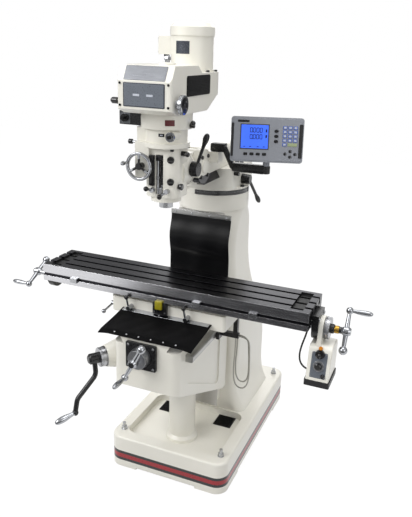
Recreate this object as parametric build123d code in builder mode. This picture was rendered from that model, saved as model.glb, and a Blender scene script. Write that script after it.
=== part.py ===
from build123d import *
import os
from math import cos, radians, sin, tan

# Turret milling machine, in millimetres. The origin is on the floor under the middle of the base,
# +X is the operator's right, the operator stands at -Y and +Z is up.

os.makedirs("parts", exist_ok=True)

# Clearances
way_gap = 0.1
run_gap = 0.05
part_gap = 0.5
turn_gap = 0.3
join = 1.0
room = 2.0

# Base
base_width = 602.0
base_length = 985.0
base_height = 165.0
base_corner = 60.0
base_edge = 12.0
base_wall = 25.0
base_floor = 25.0
base_rim = 60.0
tray_depth = 35.0
tray_setback = 8.0
tray_corner = 45.0
foot_relief = 12.0
foot_pad_x = 146.0
foot_pad_y = 200.0

# Levelling bolts
bolt_radius = 8.0
bolt_inset_x = 45.5
bolt_inset_y = 70.5
bolt_stand = 36.0
bolt_foot = 2.0
washer_radius = 15.0
washer_height = 3.0
nut_radius = 13.5
nut_height = 13.0

# Column
column_height = 1153.0
column_axis_y = 20.0
foot_half = 232.0
foot_front = -50.0
foot_rear = 390.0
foot_corner = 50.0
waist_rise = 95.0
waist_half = 192.0
waist_front = -60.0
waist_rear = 405.0
waist_corner = 40.0
hip_rise = 335.0
hip_half = 188.0
hip_front = -74.0
hip_rear = 392.0
hip_corner = 45.0
chest_rise = 790.0
chest_half = 152.0
chest_front = -100.0
chest_rear = 198.0
chest_corner = 62.0
shoulder_rise = 955.0
shoulder_half = 150.0
shoulder_front = -110.0
shoulder_rear = 190.0
shoulder_corner = 70.0
flange_radius = 168.0
flange_height = 73.0
flange_step = 8.0
column_wall = 20.0
hollow_rise = 640.0
hollow_corner = 26.0

# Dovetail rail on the column
rail_front = -152.0
rail_depth = 42.0
rail_front_half = 125.0
rail_root_half = 103.0
rail_foot = 75.0
rail_top_drop = 78.0

# Elevating screw and its post
screw_setback = 147.9
elevating_radius = 22.0
post_foot_radius = 78.0
post_radius = 64.0
post_foot_height = 14.0
post_height = 350.0
post_nut_length = 40.0
post_bore = 28.0
well_radius = 32.0
thread_gap = 7.0
thrust_gap = 2.0
gear_ratio = 2.0
pinion_start = 30.0
pinion_end = 54.0
gear_back = 3.0
journal_radius = 18.0
collar_radius = 25.0
collar_height = 6.0

# Knee
knee_bottom = 597.0
knee_height = 195.0
knee_length = 537.9
knee_half = 150.0
knee_corner = 34.0
knee_heel_drop = 247.0
knee_wall = 28.0
knee_front_wall = 35.0
knee_roof = 22.0
knee_hollow_reach = 95.0
arm_gap = 5.0
knee_way_height = 38.0
knee_way_root_half = 98.0
knee_way_top_half = 120.0
recess_front = 100.0
recess_rear = 60.0
recess_top = 95.0
recess_low = 15.0
recess_corner = 24.0
recess_depth = 6.0
nut_slot_half = 40.0
nut_slot_start = 65.0
nut_slot_setback = 102.9
web_height = 24.0
web_half_length = 55.0
web_overlap = 3.0
shaft_radius = 14.0
shaft_angle = 37.2
shaft_drop = 32.0
shaft_reach = 392.0
shaft_boss_length = 174.0
boss_root_radius = 64.0
boss_radius = 48.0

# Cranks and dials
grip_neck = 0.6
grip_waist = 0.78
grip_waist_place = 0.3
grip_swell_place = 0.75
dial_radius = 45.0
dial_length = 30.0
dial_taper = 3.0
left_dial_radius = 37.0
crank_hub_radius = 24.0
crank_hub_length = 40.0
crank_hub_nose = 8.0
crank_straight = 0.34
crank_knuckle = 0.74
crank_throw = 0.86
crank_bend = 0.2
crank_knob_radius = 14.0
crank_bar_radius = 11.0
crank_reach = 219.0
crank_offset = 110.0
crank_swing = 12.5
crank_grip_tilt = 15.0
crank_grip_length = 95.0
crank_grip_radius = 14.0
ball_arm = 84.0
ball_tail = 78.0
ball_radius = 18.0
ball_hub_radius = 19.0
ball_arm_radius = 8.0
ball_arm_swell = 3.0
ball_arm_taper = 1.0
ball_hub_face = 13.0
grip_ball_radius = 15.0
ball_grip_length = 92.0
ball_grip_radius = 11.0
cross_swing = 28.0
left_swing = 118.0
right_swing = 155.0

# Cross feed
cross_x = -12.0
cross_z_drop = 38.0
plate_width = 138.0
plate_height = 116.0
plate_thickness = 12.0
plate_corner = 6.0
cross_dial_radius = 46.0
cross_dial_length = 36.0
cross_dial_taper = 6.0
cross_end_radius = 12.0
cross_end_gap = 4.0
cross_hub_gap = 50.0

# Saddle
saddle_half = 271.0
saddle_setback = 200.0
saddle_depth = 193.0
saddle_height = 87.8
saddle_lip = 18.0
saddle_lip_inset = 14.0
saddle_arm_half = 165.0
saddle_arm_gap = 2.0
nut_half = 35.0
nut_half_length = 20.0
nut_wall = 7.0
lock_drop = 32.0
lock_nose = 4.0
lock_lean = 9.0
lock_clear = 4.0
lock_rise = 50.0
lock_left_inset = 101.0
lock_right_inset = 167.0
saddle_lock_setback = 40.0
saddle_lock_rise = 14.0
saddle_lock_hub = 24.0
saddle_lock_stand = 30.0
saddle_lock_reach = 62.0
saddle_lock_dip = 20.0

# Table
table_half = 622.5
table_depth = 229.0
table_height = 78.0
table_way_height = 27.6
table_way_root_half = 62.0
table_way_top_half = 78.0
screw_channel_half = 22.0
lead_drop = 18.0
lead_radius = 15.9
slot_neck = 16.0
slot_neck_depth = 16.0
slot_foot = 28.0
slot_foot_depth = 12.0
slot_spacing = 63.5
slot_count = 3
trough_start = 540.0
trough_length = 52.0
trough_depth = 11.0
trough_margin = 20.0
stop_groove_height = 14.0
stop_groove_depth = 8.0
stop_groove_drop = 47.0
stop_length = 34.0
stop_stand = 12.0
stop_left_inset = 169.5
stop_middle_inset = 474.5
stop_right_inset = 226.5
bracket_thickness = 27.5
bracket_half = 55.0
bracket_top_drop = 32.0
bracket_radius = 52.0
lead_end_radius = 12.0

# Power feed
feed_side_gap = 1.5
feed_top_gap = 4.0
feed_front_reach = 96.5
feed_rear_reach = 53.5
feed_pad_step = 4.0
feed_neck_inset = 10.0
feed_neck_rise = 12.0
feed_width = 95.0
feed_height = 168.0
feed_pad = 25.0
feed_lean = 34.0
feed_neck_radius = 48.0
feed_neck_length = 18.0
feed_edge = 12.0
feed_dial_gap = 3.0
feed_dial_length = 20.0
crank_stand = 63.0
knob_radius = 16.0
knob_length = 18.0
knob_taper = 3.0
knob_crown = 2.0
feed_lever_radius = 20.0
feed_lever_tip = 5.0
feed_lever_crown = 6.0
knob_rise = 62.0
lever_rise = 112.0

# Turret
ring_height = 25.0
turret_height = 105.0
turret_half = 142.0
turret_front_reach = 165.0
turret_rear_reach = 165.0
turret_corner = 40.0
turret_step = 6.0
handle_reach = 178.0
handle_stand = 40.0
handle_setback = 160.0
handle_hub_radius = 24.0
handle_hub_taper = 3.0
handle_set = 8.0
handle_lean = 0.12
handle_angle = 48.7
handle_bar_radius = 7.0
handle_grip = 72.0
handle_grip_lap = 12.0
handle_grip_radius = 11.0
handle_shaft_radius = 12.0
ram_pinion_radius = 28.0
ram_pinion_half = 22.0
lock_front_setback = 47.0
lock_rear_setback = 133.0
ram_lock_drop = 24.0
ram_lock_hub = 22.0
ram_lock_stand = 12.0
front_lock_advance = 6.0
front_lock_rise = 52.0
rear_lock_advance = 30.0
rear_lock_rise = 40.0

# Ram
ram_overhang = 180.0
ram_tail = 145.0
ram_way_height = 40.0
ram_way_bottom_half = 90.0
ram_way_top_half = 68.0
ram_half = 89.0
ram_height = 102.0
ram_round = 46.0
ram_wall = 24.0
ram_hollow_half = 60.0
pivot_rise = 38.0
cheek_radius = 72.0
fork_room = 5.0
boss_setback = 75.0
boss_drop = 8.0
boss_stand = 18.0
boss_margin = 22.0
boss_length = 52.0
boss_height = 44.0
fork_half = 56.0
pivot_radius = 20.0
arm_pin_radius = 8.0

# Ram adapter
tongue_radius = 69.0
tongue_trim = 6.0
tongue_lap = 5.0
adapter_flange_radius = 82.0
adapter_flange_start = 75.0
adapter_flange_length = 22.0

# Head
spindle_reach = 81.7
head_front_reach = 61.0
apron_stand = 13.0
apron_rear_reach = 24.0
pinion_bore_end = 62.0
pinion_end_gap = 2.0
head_half = 72.0
head_corner = 38.0
head_bottom_drop = 93.0
head_lip_drop = 113.0
head_lip_radius = 61.0
head_height = 120.0
head_flange_radius = 92.0
head_flange_height = 18.0
quill_slot_half = 16.0
quill_slot_low = 81.0
quill_slot_high = 75.0
apron_left = 100.0
apron_right = 40.0
apron_low = 23.0

# Quill and spindle
quill_radius = 43.0
quill_nose_drop = 116.0
quill_top_rise = 112.0
nose_radius = 28.0
nose_length = 26.0
spindle_radius = 22.0
spline_radius = 16.0
drawbar_radius = 9.0
drawbar_stand = 34.0
taper_mouth = 15.9
taper_bore = 12.05
taper_length = 24.0
taper_depth = 80.0
pinion_radius = 17.0
pinion_rise = 10.0
quill_hub_radius = 31.0
quill_hub_length = 28.0
quill_hub_gap = 4.0
quill_hub_taper = 3.0
quill_lever_lean = 18.6
quill_bar_radius = 6.5
quill_grip = 60.0
quill_grip_lap = 15.0
quill_grip_radius = 12.0
quill_lever_length = 152.0

# Gear housing
gear_radius = 82.0
gear_height = 54.0
neck_radius = 100.0
gear_box_half = 45.0
gear_box_stand = 6.0
neck_height = 60.0
gear_wall = 14.0
bearing_radius = 26.0
rate_x = 65.0
rate_rise = 32.4
rate_boss_radius = 17.0
rate_pin_radius = 5.0
rate_pin_length = 12.0
rate_boss_root = 41.0

# Belt housing
belt_half = 109.0
belt_front_reach = 188.0
belt_front_height = 117.7
belt_height = 171.7
belt_rear_drop = 28.0
belt_rear_rise = 53.7
belt_drop_setback = 42.0
belt_drop_length = 40.0
belt_chin_length = 52.0
belt_tail_start = 12.0
belt_tail_length = 102.0
belt_floor_hole = 14.0
belt_shaft_hole = 8.0
belt_bottom_rise = 19.0
belt_slope = 30.0
belt_wall = 6.0
belt_edge = 10.0

# Motor and drive
motor_spacing = 229.0
motor_foot_height = 8.0
motor_radius = 86.5
motor_height = 134.0
fan_radius = 90.5
fan_height = 48.0
fan_dome = 14.0
fan_wall = 4.0
fan_mouth = 14.0
motor_shaft_radius = 12.0
motor_socket = 45.0
motor_pulley_radius = 52.0
spindle_pulley_radius = 78.0
pulley_half = 24.0
groove_depth = 16.0
groove_slope = 5.0
belt_level_rise = 91.7
belt_half_width = 11.0
belt_thickness = 12.0
terminal_width = 44.0
terminal_length = 90.0
terminal_height = 70.0
terminal_rise = 61.0
terminal_lap = 20.0

# Head controls
wheel_radius = 56.0
wheel_rim = 6.5
wheel_x = -70.0
wheel_rise = 29.0
wheel_stand = 24.0
wheel_grip_angle = 16.0
wheel_hub_radius = 15.0
wheel_hub_root = 13.0
wheel_hub_nose = 8.0
wheel_hub_face = 12.0
spoke_count = 3
spoke_radius = 5.0
wheel_grip_length = 44.0
wheel_grip_radius = 8.0
wheel_round = 0.7
speed_wheel_radius = 34.0
speed_wheel_setback = 42.0
speed_wheel_rise = 41.7
speed_wheel_stand = 18.0
speed_wheel_width = 14.0
speed_wheel_hub = 14.0
speed_wheel_neck = 12.0
speed_wheel_nose = 10.0
speed_wheel_step = 4.0
switch_width = 80.0
switch_length = 78.0
switch_height = 52.0
switch_drop = 3.0
switch_advance = 16.0
switch_lap = 25.0
switch_edge = 6.0
switch_knob_place = 52.8
switch_knob_radius = 16.0
switch_knob_height = 10.0
switch_key_radius = 7.0
switch_key_length = 26.0
small_hub_radius = 10.0
small_arm_radius = 4.5
small_ball_radius = 10.0
arm_set = 2.0
front_control_drop = 64.0
trip_x = -28.0
trip_hub = 16.0
trip_lean = 12.0
trip_stand = 36.0
trip_rise = 8.0
quill_lock_x = 36.0
quill_lock_hub = 18.0
quill_lock_lean = 22.0
quill_lock_stand = 28.0
quill_lock_drop = 20.0
engage_advance = 14.0
engage_drop = 40.0
engage_hub = 20.0
engage_stand = 38.0
engage_arm = 32.0
engage_rise = 4.0
select_drop = 14.0
select_hub = 24.0
select_length = 52.0
select_knob = 14.0
select_crown = 4.0
range_rise = 14.0
range_hub = 16.0
range_stand = 22.0
range_arm = 26.0
range_lift = 12.0
brake_setback = 46.0
brake_neck = 20.0
brake_flare = 4.0
brake_knob = 20.0
brake_crown = 6.0
brake_knob_radius = 12.0
rate_dial_radius = 19.0
rate_dial_height = 8.0
rate_knob_radius = 8.0
rate_knob_length = 20.0

# Display
display_width = 290.0
display_height = 178.0
display_depth = 58.0
display_yaw = 20.0
display_tilt = 10.0
display_corner = 12.0
display_shift = 6.0
display_setback = 4.0
display_rise = 120.0
display_stalk_lap = 20.0
arm_radius = 12.0
arm_hub_radius = 18.0
arm_rise = 16.0
arm_hub_top = 14.0
arm_pin_length = 40.0
arm_first_length = 42.0
arm_last_length = 148.0
arm_slant = 4.0
swivel_reach = 234.0
swivel_advance = 26.0
swivel_drop = 68.6
swivel_lip = 5.0
stalk_lip = 2.0

# Scale on the knee and covers
scale_width = 34.0
scale_start = 75.0
scale_setback = 37.9
scale_edge = 5.0
scale_height = 30.0
scale_drop = 34.0
reader_setback = 1.0
reader_length = 20.0
reader_dip = 2.0
reader_height = 22.0
reader_stand = 4.0
reader_hanger_inset = 2.0
reader_head_length = 46.0
reader_head_width = 15.5
guard_half = 148.5
guard_thickness = 3.0
guard_bulge = 20.0
guard_shift = 8.0
guard_hem = 30.0
guard_belly_place = 0.72
guard_waist_place = 0.3
guard_waist = 0.4
guard_foot = 0.5
cover_half = 213.0
cover_thickness = 3.0
cover_seat = 0.7
cover_seat_rise = 24.0
cover_sag_reach = 60.0
cover_sag_rise = 15.0
cover_lip = 12.0
cover_lip_rise = 3.0
cover_lip_drop = 4.0
cable_radius = 3.5
cable_inset = 9.0
cable_shift = 5.0
cable_spacing = 11.0
cable_turn = 20.0
outer_bow = 66.0
inner_bow = 52.0
feed_cord_radius = 4.0
cord_inset = 42.5
cord_edge = 8.0
socket_inset = 70.0
socket_rise = 15.0
cord_turn = 20.0
cord_lean = 6.0
arc_share = 0.45

# Levels and places that follow from the sizes above
tray_floor = base_height - tray_depth
tray_front = -(base_length / 2 - base_rim)
tray_rear = foot_front - tray_setback
cavity_height = tray_floor - base_floor
column_top = base_height + column_height
shoulder_z = base_height + shoulder_rise
flange_bottom = column_top - flange_height
rail_root = rail_front + rail_depth
rail_bottom = base_height + rail_foot
rail_top = column_top - rail_top_drop
knee_top = knee_bottom + knee_height
knee_heel = knee_bottom - knee_heel_drop
knee_way_top = knee_top + knee_way_height
knee_rear = rail_front - way_gap
knee_front = knee_rear - knee_length
screw_y = knee_rear - screw_setback
nut_slot_front = knee_front + nut_slot_start
nut_slot_rear = knee_rear - nut_slot_setback
shaft_z = knee_bottom + knee_height / 2 - shaft_drop
gear_z = shaft_z + pinion_end / gear_ratio + gear_back + part_gap
web_bottom = gear_z + thrust_gap
web_top = web_bottom + web_height
cross_z = knee_top - cross_z_drop
saddle_front = knee_front + saddle_setback
saddle_rear = saddle_front + saddle_depth
saddle_bottom = knee_way_top + way_gap
saddle_way = saddle_bottom + saddle_height
table_bottom = saddle_way + way_gap
table_top = table_bottom + table_height
lead_y = (saddle_front + saddle_rear) / 2
lead_z = table_bottom - lead_drop
feed_left = table_half + feed_side_gap
feed_right = feed_left + feed_width
feed_top = lead_z - bracket_radius - feed_top_gap
feed_bottom = feed_top - feed_height
feed_front = lead_y - feed_front_reach
feed_rear = lead_y + feed_rear_reach
table_front = lead_y - table_depth / 2
table_rear = lead_y + table_depth / 2
turret_bottom = column_top + turn_gap
turret_top = turret_bottom + ring_height + turret_height
turret_front = column_axis_y - turret_front_reach
turret_rear = column_axis_y + turret_rear_reach
handle_y = turret_front + handle_setback
lock_front_y = turret_front + lock_front_setback
lock_rear_y = turret_front + lock_rear_setback
ram_rear = turret_rear + ram_tail
pivot_y = turret_front - ram_overhang
boss_y = pivot_y + boss_setback
ram_bottom = turret_top - ram_way_height + part_gap
ram_top = turret_top + ram_height
pivot_z = turret_top + pivot_rise
adapter_face = pivot_y - adapter_flange_start - adapter_flange_length
head_back = adapter_face - turn_gap
spindle_y = head_back - spindle_reach
head_front = spindle_y - head_front_reach
apron_front = head_front - apron_stand
apron_rear = spindle_y + apron_rear_reach
head_bottom = pivot_z - head_bottom_drop
head_top = pivot_z + head_height
gear_top = head_top + gear_height + neck_height
belt_floor = gear_top
belt_front = spindle_y - belt_front_reach
belt_front_top = belt_floor + belt_front_height
belt_top = belt_floor + belt_height
belt_rear_top = belt_top - belt_rear_drop
belt_rear_bottom = belt_floor + belt_rear_rise
belt_drop_start = spindle_y + belt_drop_setback
belt_drop_end = belt_drop_start + belt_drop_length
belt_chin = belt_front + belt_chin_length
motor_y = spindle_y + motor_spacing
belt_rear_start = motor_y + belt_tail_start
belt_rear_end = belt_rear_start - belt_tail_length
belt_level = belt_floor + belt_level_rise
motor_bottom = belt_rear_top
drawbar_top = belt_top + drawbar_stand
speed_wheel_y = belt_front + speed_wheel_setback
speed_wheel_z = belt_floor + speed_wheel_rise
shaft_way = Vector(-sin(radians(shaft_angle)), -cos(radians(shaft_angle)), 0)
shaft_side = Vector(cos(radians(shaft_angle)), -sin(radians(shaft_angle)), 0)
shaft_start = Vector(0, screw_y, shaft_z)
crank_seat = ball_arm_radius + ball_arm_swell
crank_fall = shaft_side * sin(radians(crank_swing)) - Vector(0, 0, cos(radians(crank_swing)))


def block(low, high, mode=Mode.ADD):
    """Box between two corners, in the piece being built."""
    with Locations(tuple((a + b) / 2 for a, b in zip(low, high))):
        Box(*[b - a for a, b in zip(low, high)], mode=mode)


def rod(start, end, radius, mode=Mode.ADD):
    """Round bar between two points."""
    span = Vector(*end) - Vector(*start)
    with BuildSketch(Plane(origin=start, z_dir=span)) as section:
        Circle(radius)
    extrude(section.sketch, amount=span.length, mode=mode)


def ball(centre, radius, mode=Mode.ADD):
    """Sphere at a point."""
    with Locations(centre):
        Sphere(radius, mode=mode)


def turning_plane(origin, direction):
    """Plane whose local X runs along the direction that an outline is turned about."""
    along = Vector(*direction).normalized()
    side = min((Vector(1, 0, 0), Vector(0, 0, 1)), key=lambda axis: abs(axis.dot(along)))
    across = (side - along * side.dot(along)).normalized()
    return Plane(origin=origin, x_dir=along, z_dir=along.cross(across))


def turn(origin, direction, outline, mode=Mode.ADD):
    """Turn an outline of (distance along the line, radius) points about a line."""
    section = turning_plane(origin, direction)
    with BuildSketch(section) as profile:
        with BuildLine():
            Polyline((outline[0][0], 0), *outline, (outline[-1][0], 0), close=True)
        make_face()
    revolve(profile.sketch, axis=Axis(section.origin, section.x_dir), mode=mode)


def hand_grip(origin, direction, length, radius):
    """Swelling grip with a rounded end, turned about a line."""
    section = turning_plane(origin, direction)
    with BuildSketch(section) as profile:
        with BuildLine():
            Line((0, 0), (0, grip_neck * radius))
            Spline((0, grip_neck * radius), (grip_waist_place * length, grip_waist * radius),
                   (grip_swell_place * length, radius), (length, 0), tangents=((1, 0), (0, -1)))
            Line((length, 0), (0, 0))
        make_face()
    revolve(profile.sketch, axis=Axis(section.origin, section.x_dir))


def ball_crank(hub, outward, arm_way):
    """Bright crank: hub, counterweight ball, tapered arm and a turned grip that points outward."""
    hub = Vector(*hub)
    outward = Vector(*outward)
    arm_way = Vector(*arm_way).normalized()
    turn(hub - outward * ball_hub_radius, outward,
         [(0, ball_hub_face), (ball_hub_radius / 2, ball_hub_radius),
          (3 * ball_hub_radius / 2, ball_hub_radius),
          (2 * ball_hub_radius, ball_hub_face)])
    turn(hub - arm_way * ball_tail, arm_way,
         [(0, ball_arm_radius), (ball_tail, crank_seat),
          (ball_tail + ball_arm, ball_arm_radius - ball_arm_taper)])
    ball(hub - arm_way * ball_tail, ball_radius)
    ball(hub + arm_way * ball_arm, grip_ball_radius)
    hand_grip(hub + arm_way * ball_arm, outward, ball_grip_length, ball_grip_radius)


def ball_lever(root, outward, hub_length, tip):
    """Small control: a turned hub, a thin arm and a ball."""
    root = Vector(*root)
    outward = Vector(*outward)
    rod(root + outward * (hub_length - small_arm_radius - arm_set), tip, small_arm_radius)
    ball(tip, small_ball_radius)
    rod(root, root + outward * hub_length, small_hub_radius)


def cord(points, radius):
    """Tube of straight runs and tangent arcs, each arc as large as its two runs allow."""
    route = [Vector(*point) for point in points]
    bends = []
    for before, corner, after in zip(route, route[1:], route[2:]):
        angle = (corner - before).get_angle(after - corner)
        shorter = min((corner - before).length, (after - corner).length)
        bends.append(arc_share * shorter / tan(radians(angle) / 2))
    with BuildLine() as path:
        FilletPolyline(*points, radius=bends)
    with BuildSketch(Plane(origin=route[0], z_dir=route[1] - route[0])) as section:
        Circle(radius)
    sweep(section.sketch, path=path.wire())


# Base: a cast tray on a hollow foot, with relieved sides so that it stands on its corners
with BuildPart() as base:
    with BuildSketch():
        RectangleRounded(base_width, base_length, base_corner)
    extrude(amount=base_height)
    fillet(base.faces().sort_by(Axis.Z)[-1].edges(), radius=base_edge)
    with BuildSketch():
        RectangleRounded(base_width - 2 * base_wall, base_length - 2 * base_wall, base_corner - base_wall)
    extrude(amount=cavity_height, mode=Mode.SUBTRACT)
    with BuildSketch(Plane.XY.offset(base_height)):
        with Locations((0, (tray_front + tray_rear) / 2)):
            RectangleRounded(base_width - 2 * base_rim, tray_rear - tray_front, tray_corner)
    extrude(amount=-tray_depth, mode=Mode.SUBTRACT)
    rod((0, screw_y, 0), (0, screw_y, base_height), well_radius, Mode.SUBTRACT)
    for side in (-1, 1):
        with Locations((side * base_width / 2, 0, 0)):
            Box(2 * foot_relief, base_length - 2 * foot_pad_y, 2 * foot_relief, mode=Mode.SUBTRACT)
        with Locations((0, side * base_length / 2, 0)):
            Box(base_width - 2 * foot_pad_x, 2 * foot_relief, 2 * foot_relief, mode=Mode.SUBTRACT)
    bolt_places = [
        (x * (base_width / 2 - bolt_inset_x), y * (base_length / 2 - bolt_inset_y))
        for x in (-1, 1) for y in (-1, 1)
    ]
    for x, y in bolt_places:
        rod((x, y, 0), (x, y, base_height), bolt_radius + run_gap, Mode.SUBTRACT)
base.part.label = "base"
export_step(base.part, "parts/base.step")

# Levelling bolts: stud, nut and washer at each corner
with BuildPart() as levelling_bolts:
    for x, y in bolt_places:
        rod((x, y, bolt_foot), (x, y, base_height + bolt_stand), bolt_radius)
        rod((x, y, base_height), (x, y, base_height + washer_height), washer_radius)
        with BuildSketch(Plane.XY.offset(base_height + washer_height)):
            with Locations((x, y)):
                RegularPolygon(nut_radius, 6)
        extrude(amount=nut_height)
levelling_bolts.part.label = "levelling_bolts"
export_step(levelling_bolts.part, "parts/levelling_bolts.step")


# Column: tapered hollow casting with a round top flange and a dovetail rail in front
column_forms = [
    (0, foot_half, foot_front, foot_rear, foot_corner),
    (waist_rise, waist_half, waist_front, waist_rear, waist_corner),
    (hip_rise, hip_half, hip_front, hip_rear, hip_corner),
    (chest_rise, chest_half, chest_front, chest_rear, chest_corner),
    (shoulder_rise, shoulder_half, shoulder_front, shoulder_rear, shoulder_corner),
    (column_height - flange_height, flange_radius - flange_step,
     column_axis_y - flange_radius + flange_step,
     column_axis_y + flange_radius - flange_step, flange_radius - 2 * flange_step),
]
with BuildPart() as column:
    for rise, half, front, rear, corner in column_forms:
        with BuildSketch(Plane.XY.offset(base_height + rise)):
            with Locations((0, (front + rear) / 2)):
                RectangleRounded(2 * half, rear - front, corner)
    loft()
    rod((0, column_axis_y, flange_bottom), (0, column_axis_y, column_top), flange_radius)
    with BuildSketch(Plane.XY.offset(rail_bottom)):
        with BuildLine():
            Polyline((-rail_front_half, rail_front), (rail_front_half, rail_front),
                     (rail_root_half, rail_root),
                     (rail_root_half, column_axis_y), (-rail_root_half, column_axis_y),
                     (-rail_root_half, rail_root), close=True)
        make_face()
    extrude(amount=rail_top - rail_bottom)
    hollow_levels = (0, hip_rise, hollow_rise, shoulder_rise)
    for level, (rise, half, front, rear, corner) in zip(hollow_levels, column_forms[1:-1]):
        with BuildSketch(Plane.XY.offset(base_height + level)):
            with Locations((0, (front + rear) / 2)):
                RectangleRounded(2 * (half - column_wall), rear - front - 2 * column_wall, hollow_corner)
    loft(ruled=True, mode=Mode.SUBTRACT)
    rod((0, column_axis_y, shoulder_z - column_wall), (0, column_axis_y, column_top - column_wall),
        flange_radius - 2 * column_wall, Mode.SUBTRACT)
column.part.label = "column"
export_step(column.part, "parts/column.step")

# Screw post: the nut tube that stands on the tray floor
with BuildPart() as screw_post:
    turn((0, screw_y, tray_floor), (0, 0, 1),
         [(0, post_foot_radius), (post_foot_height, post_foot_radius), (2 * post_foot_height, post_radius),
          (post_height, post_radius)])
    post_top = tray_floor + post_height
    rod((0, screw_y, tray_floor), (0, screw_y, post_top), elevating_radius + run_gap, Mode.SUBTRACT)
    rod((0, screw_y, tray_floor), (0, screw_y, post_top - post_nut_length), post_bore, Mode.SUBTRACT)
screw_post.part.label = "screw_post"
export_step(screw_post.part, "parts/screw_post.step")

# Column guard: a rubber sheet from the top of the rail down to the knee
with BuildPart() as column_guard:
    hang = rail_front - guard_thickness / 2
    guard_top = rail_top - part_gap
    guard_low = knee_way_top + guard_thickness
    guard_drop = guard_top - guard_hem - guard_low
    with BuildSketch(Plane.YZ.offset(guard_shift)):
        with BuildLine():
            Line((hang, guard_top), (hang, guard_top - guard_hem))
            Spline((hang, guard_top - guard_hem),
                   (hang - guard_bulge, guard_low + guard_belly_place * guard_drop),
                   (hang - guard_waist * guard_bulge, guard_low + guard_waist_place * guard_drop),
                   (hang - guard_foot * guard_bulge, guard_low), tangents=((0, -1), (0, -1)))
        trace(line_width=guard_thickness)
    extrude(amount=guard_half, both=True)
column_guard.part.label = "column_guard"
export_step(column_guard.part, "parts/column_guard.step")

# Knee: hollow casting that rides on the rail, with the saddle's dovetail on top
with BuildPart() as knee:
    with BuildSketch(Plane.YZ.offset(-knee_half)):
        with BuildLine():
            Polyline((knee_front, knee_bottom), (knee_rear, knee_heel), (knee_rear, knee_top),
                     (knee_front, knee_top),
                     close=True)
        make_face()
    extrude(amount=2 * knee_half)
    fillet(knee.edges().filter_by(Axis.Z).group_by(Axis.Y)[0], radius=knee_corner)
    rail_slope = (rail_front_half - rail_root_half) / rail_depth
    arm_rear = rail_root - arm_gap
    for side in (-1, 1):
        with BuildSketch(Plane.XY.offset(knee_heel)):
            with BuildLine():
                Polyline((side * knee_half, knee_rear), (side * knee_half, arm_rear),
                         (side * (rail_root_half + rail_slope * arm_gap + 2 * way_gap), arm_rear),
                         (side * (rail_front_half + 2 * way_gap), knee_rear), close=True)
            make_face()
        extrude(amount=knee_top - knee_heel)
    turn(shaft_start, shaft_way,
         [(shaft_reach - shaft_boss_length, boss_root_radius),
          (shaft_reach - shaft_boss_length / 3, boss_root_radius),
          (shaft_reach, boss_radius)])
    with BuildSketch(Plane.XZ.offset(-knee_rear)):
        with BuildLine():
            Polyline((-knee_way_root_half, knee_top), (knee_way_root_half, knee_top),
                     (knee_way_top_half, knee_way_top), (-knee_way_top_half, knee_way_top), close=True)
        make_face()
    extrude(amount=knee_rear - knee_front)
    hollow_top = knee_top - knee_roof
    block((-knee_half + knee_wall, knee_front + knee_front_wall, knee_heel),
          (knee_half - knee_wall, screw_y + knee_hollow_reach, hollow_top), Mode.SUBTRACT)
    block((-knee_half + knee_wall - web_overlap, screw_y - web_half_length, web_bottom),
          (knee_half - knee_wall + web_overlap, screw_y + web_half_length, web_top))
    block((cross_x - nut_slot_half, nut_slot_front, hollow_top),
          (cross_x + nut_slot_half, nut_slot_rear, knee_way_top), Mode.SUBTRACT)
    rod((0, screw_y, web_bottom), (0, screw_y, web_top), journal_radius + run_gap, Mode.SUBTRACT)
    rod(shaft_start + shaft_way * pinion_end, shaft_start + shaft_way * shaft_reach, shaft_radius + run_gap,
        Mode.SUBTRACT)
    rod((cross_x, knee_front, cross_z), (cross_x, knee_front + knee_front_wall, cross_z),
        shaft_radius + run_gap,
        Mode.SUBTRACT)
    with BuildSketch(Plane.YZ.offset(knee_half)):
        with BuildLine():
            Polyline((knee_front + recess_front, knee_top - recess_top),
                     (knee_rear - recess_rear, knee_top - recess_top),
                     (knee_rear - recess_rear, knee_heel + recess_rear),
                     (knee_front + recess_front, knee_bottom + recess_low), close=True)
        recess_face = make_face()
        fillet(recess_face.vertices(), radius=recess_corner)
    extrude(amount=-recess_depth, mode=Mode.SUBTRACT)
knee.part.label = "knee"
export_step(knee.part, "parts/knee.step")

# Elevating screw: plain thread, bevel gear, and the journal that carries the knee's web
with BuildPart() as elevating_screw:
    thread_foot = tray_floor + thread_gap
    gear_radius_out = pinion_end
    gear_rim = shaft_z + gear_radius_out / gear_ratio + part_gap
    gear_hub = shaft_z + elevating_radius / gear_ratio + part_gap
    turn((0, screw_y, 0), (0, 0, 1),
         [(thread_foot, elevating_radius), (gear_hub, elevating_radius), (gear_rim, gear_radius_out),
          (gear_z, gear_radius_out), (gear_z, journal_radius), (web_top + turn_gap, journal_radius),
          (web_top + turn_gap, collar_radius), (web_top + turn_gap + collar_height, collar_radius)])
elevating_screw.part.label = "elevating_screw"
export_step(elevating_screw.part, "parts/elevating_screw.step")

# Elevating shaft: bevel pinion inside the knee and a dial outside
with BuildPart() as elevating_shaft:
    turn(shaft_start, shaft_way,
         [(pinion_start, pinion_start / gear_ratio - turn_gap),
          (pinion_end, pinion_end / gear_ratio - turn_gap),
          (pinion_end, shaft_radius), (shaft_reach + turn_gap, shaft_radius),
          (shaft_reach + turn_gap, dial_radius),
          (shaft_reach + turn_gap + dial_length, dial_radius - dial_taper),
          (shaft_reach + turn_gap + dial_length, shaft_radius),
          (shaft_reach + turn_gap + dial_length + crank_hub_length / 2, shaft_radius)])
elevating_shaft.part.label = "elevating_shaft"
export_step(elevating_shaft.part, "parts/elevating_shaft.step")

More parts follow.
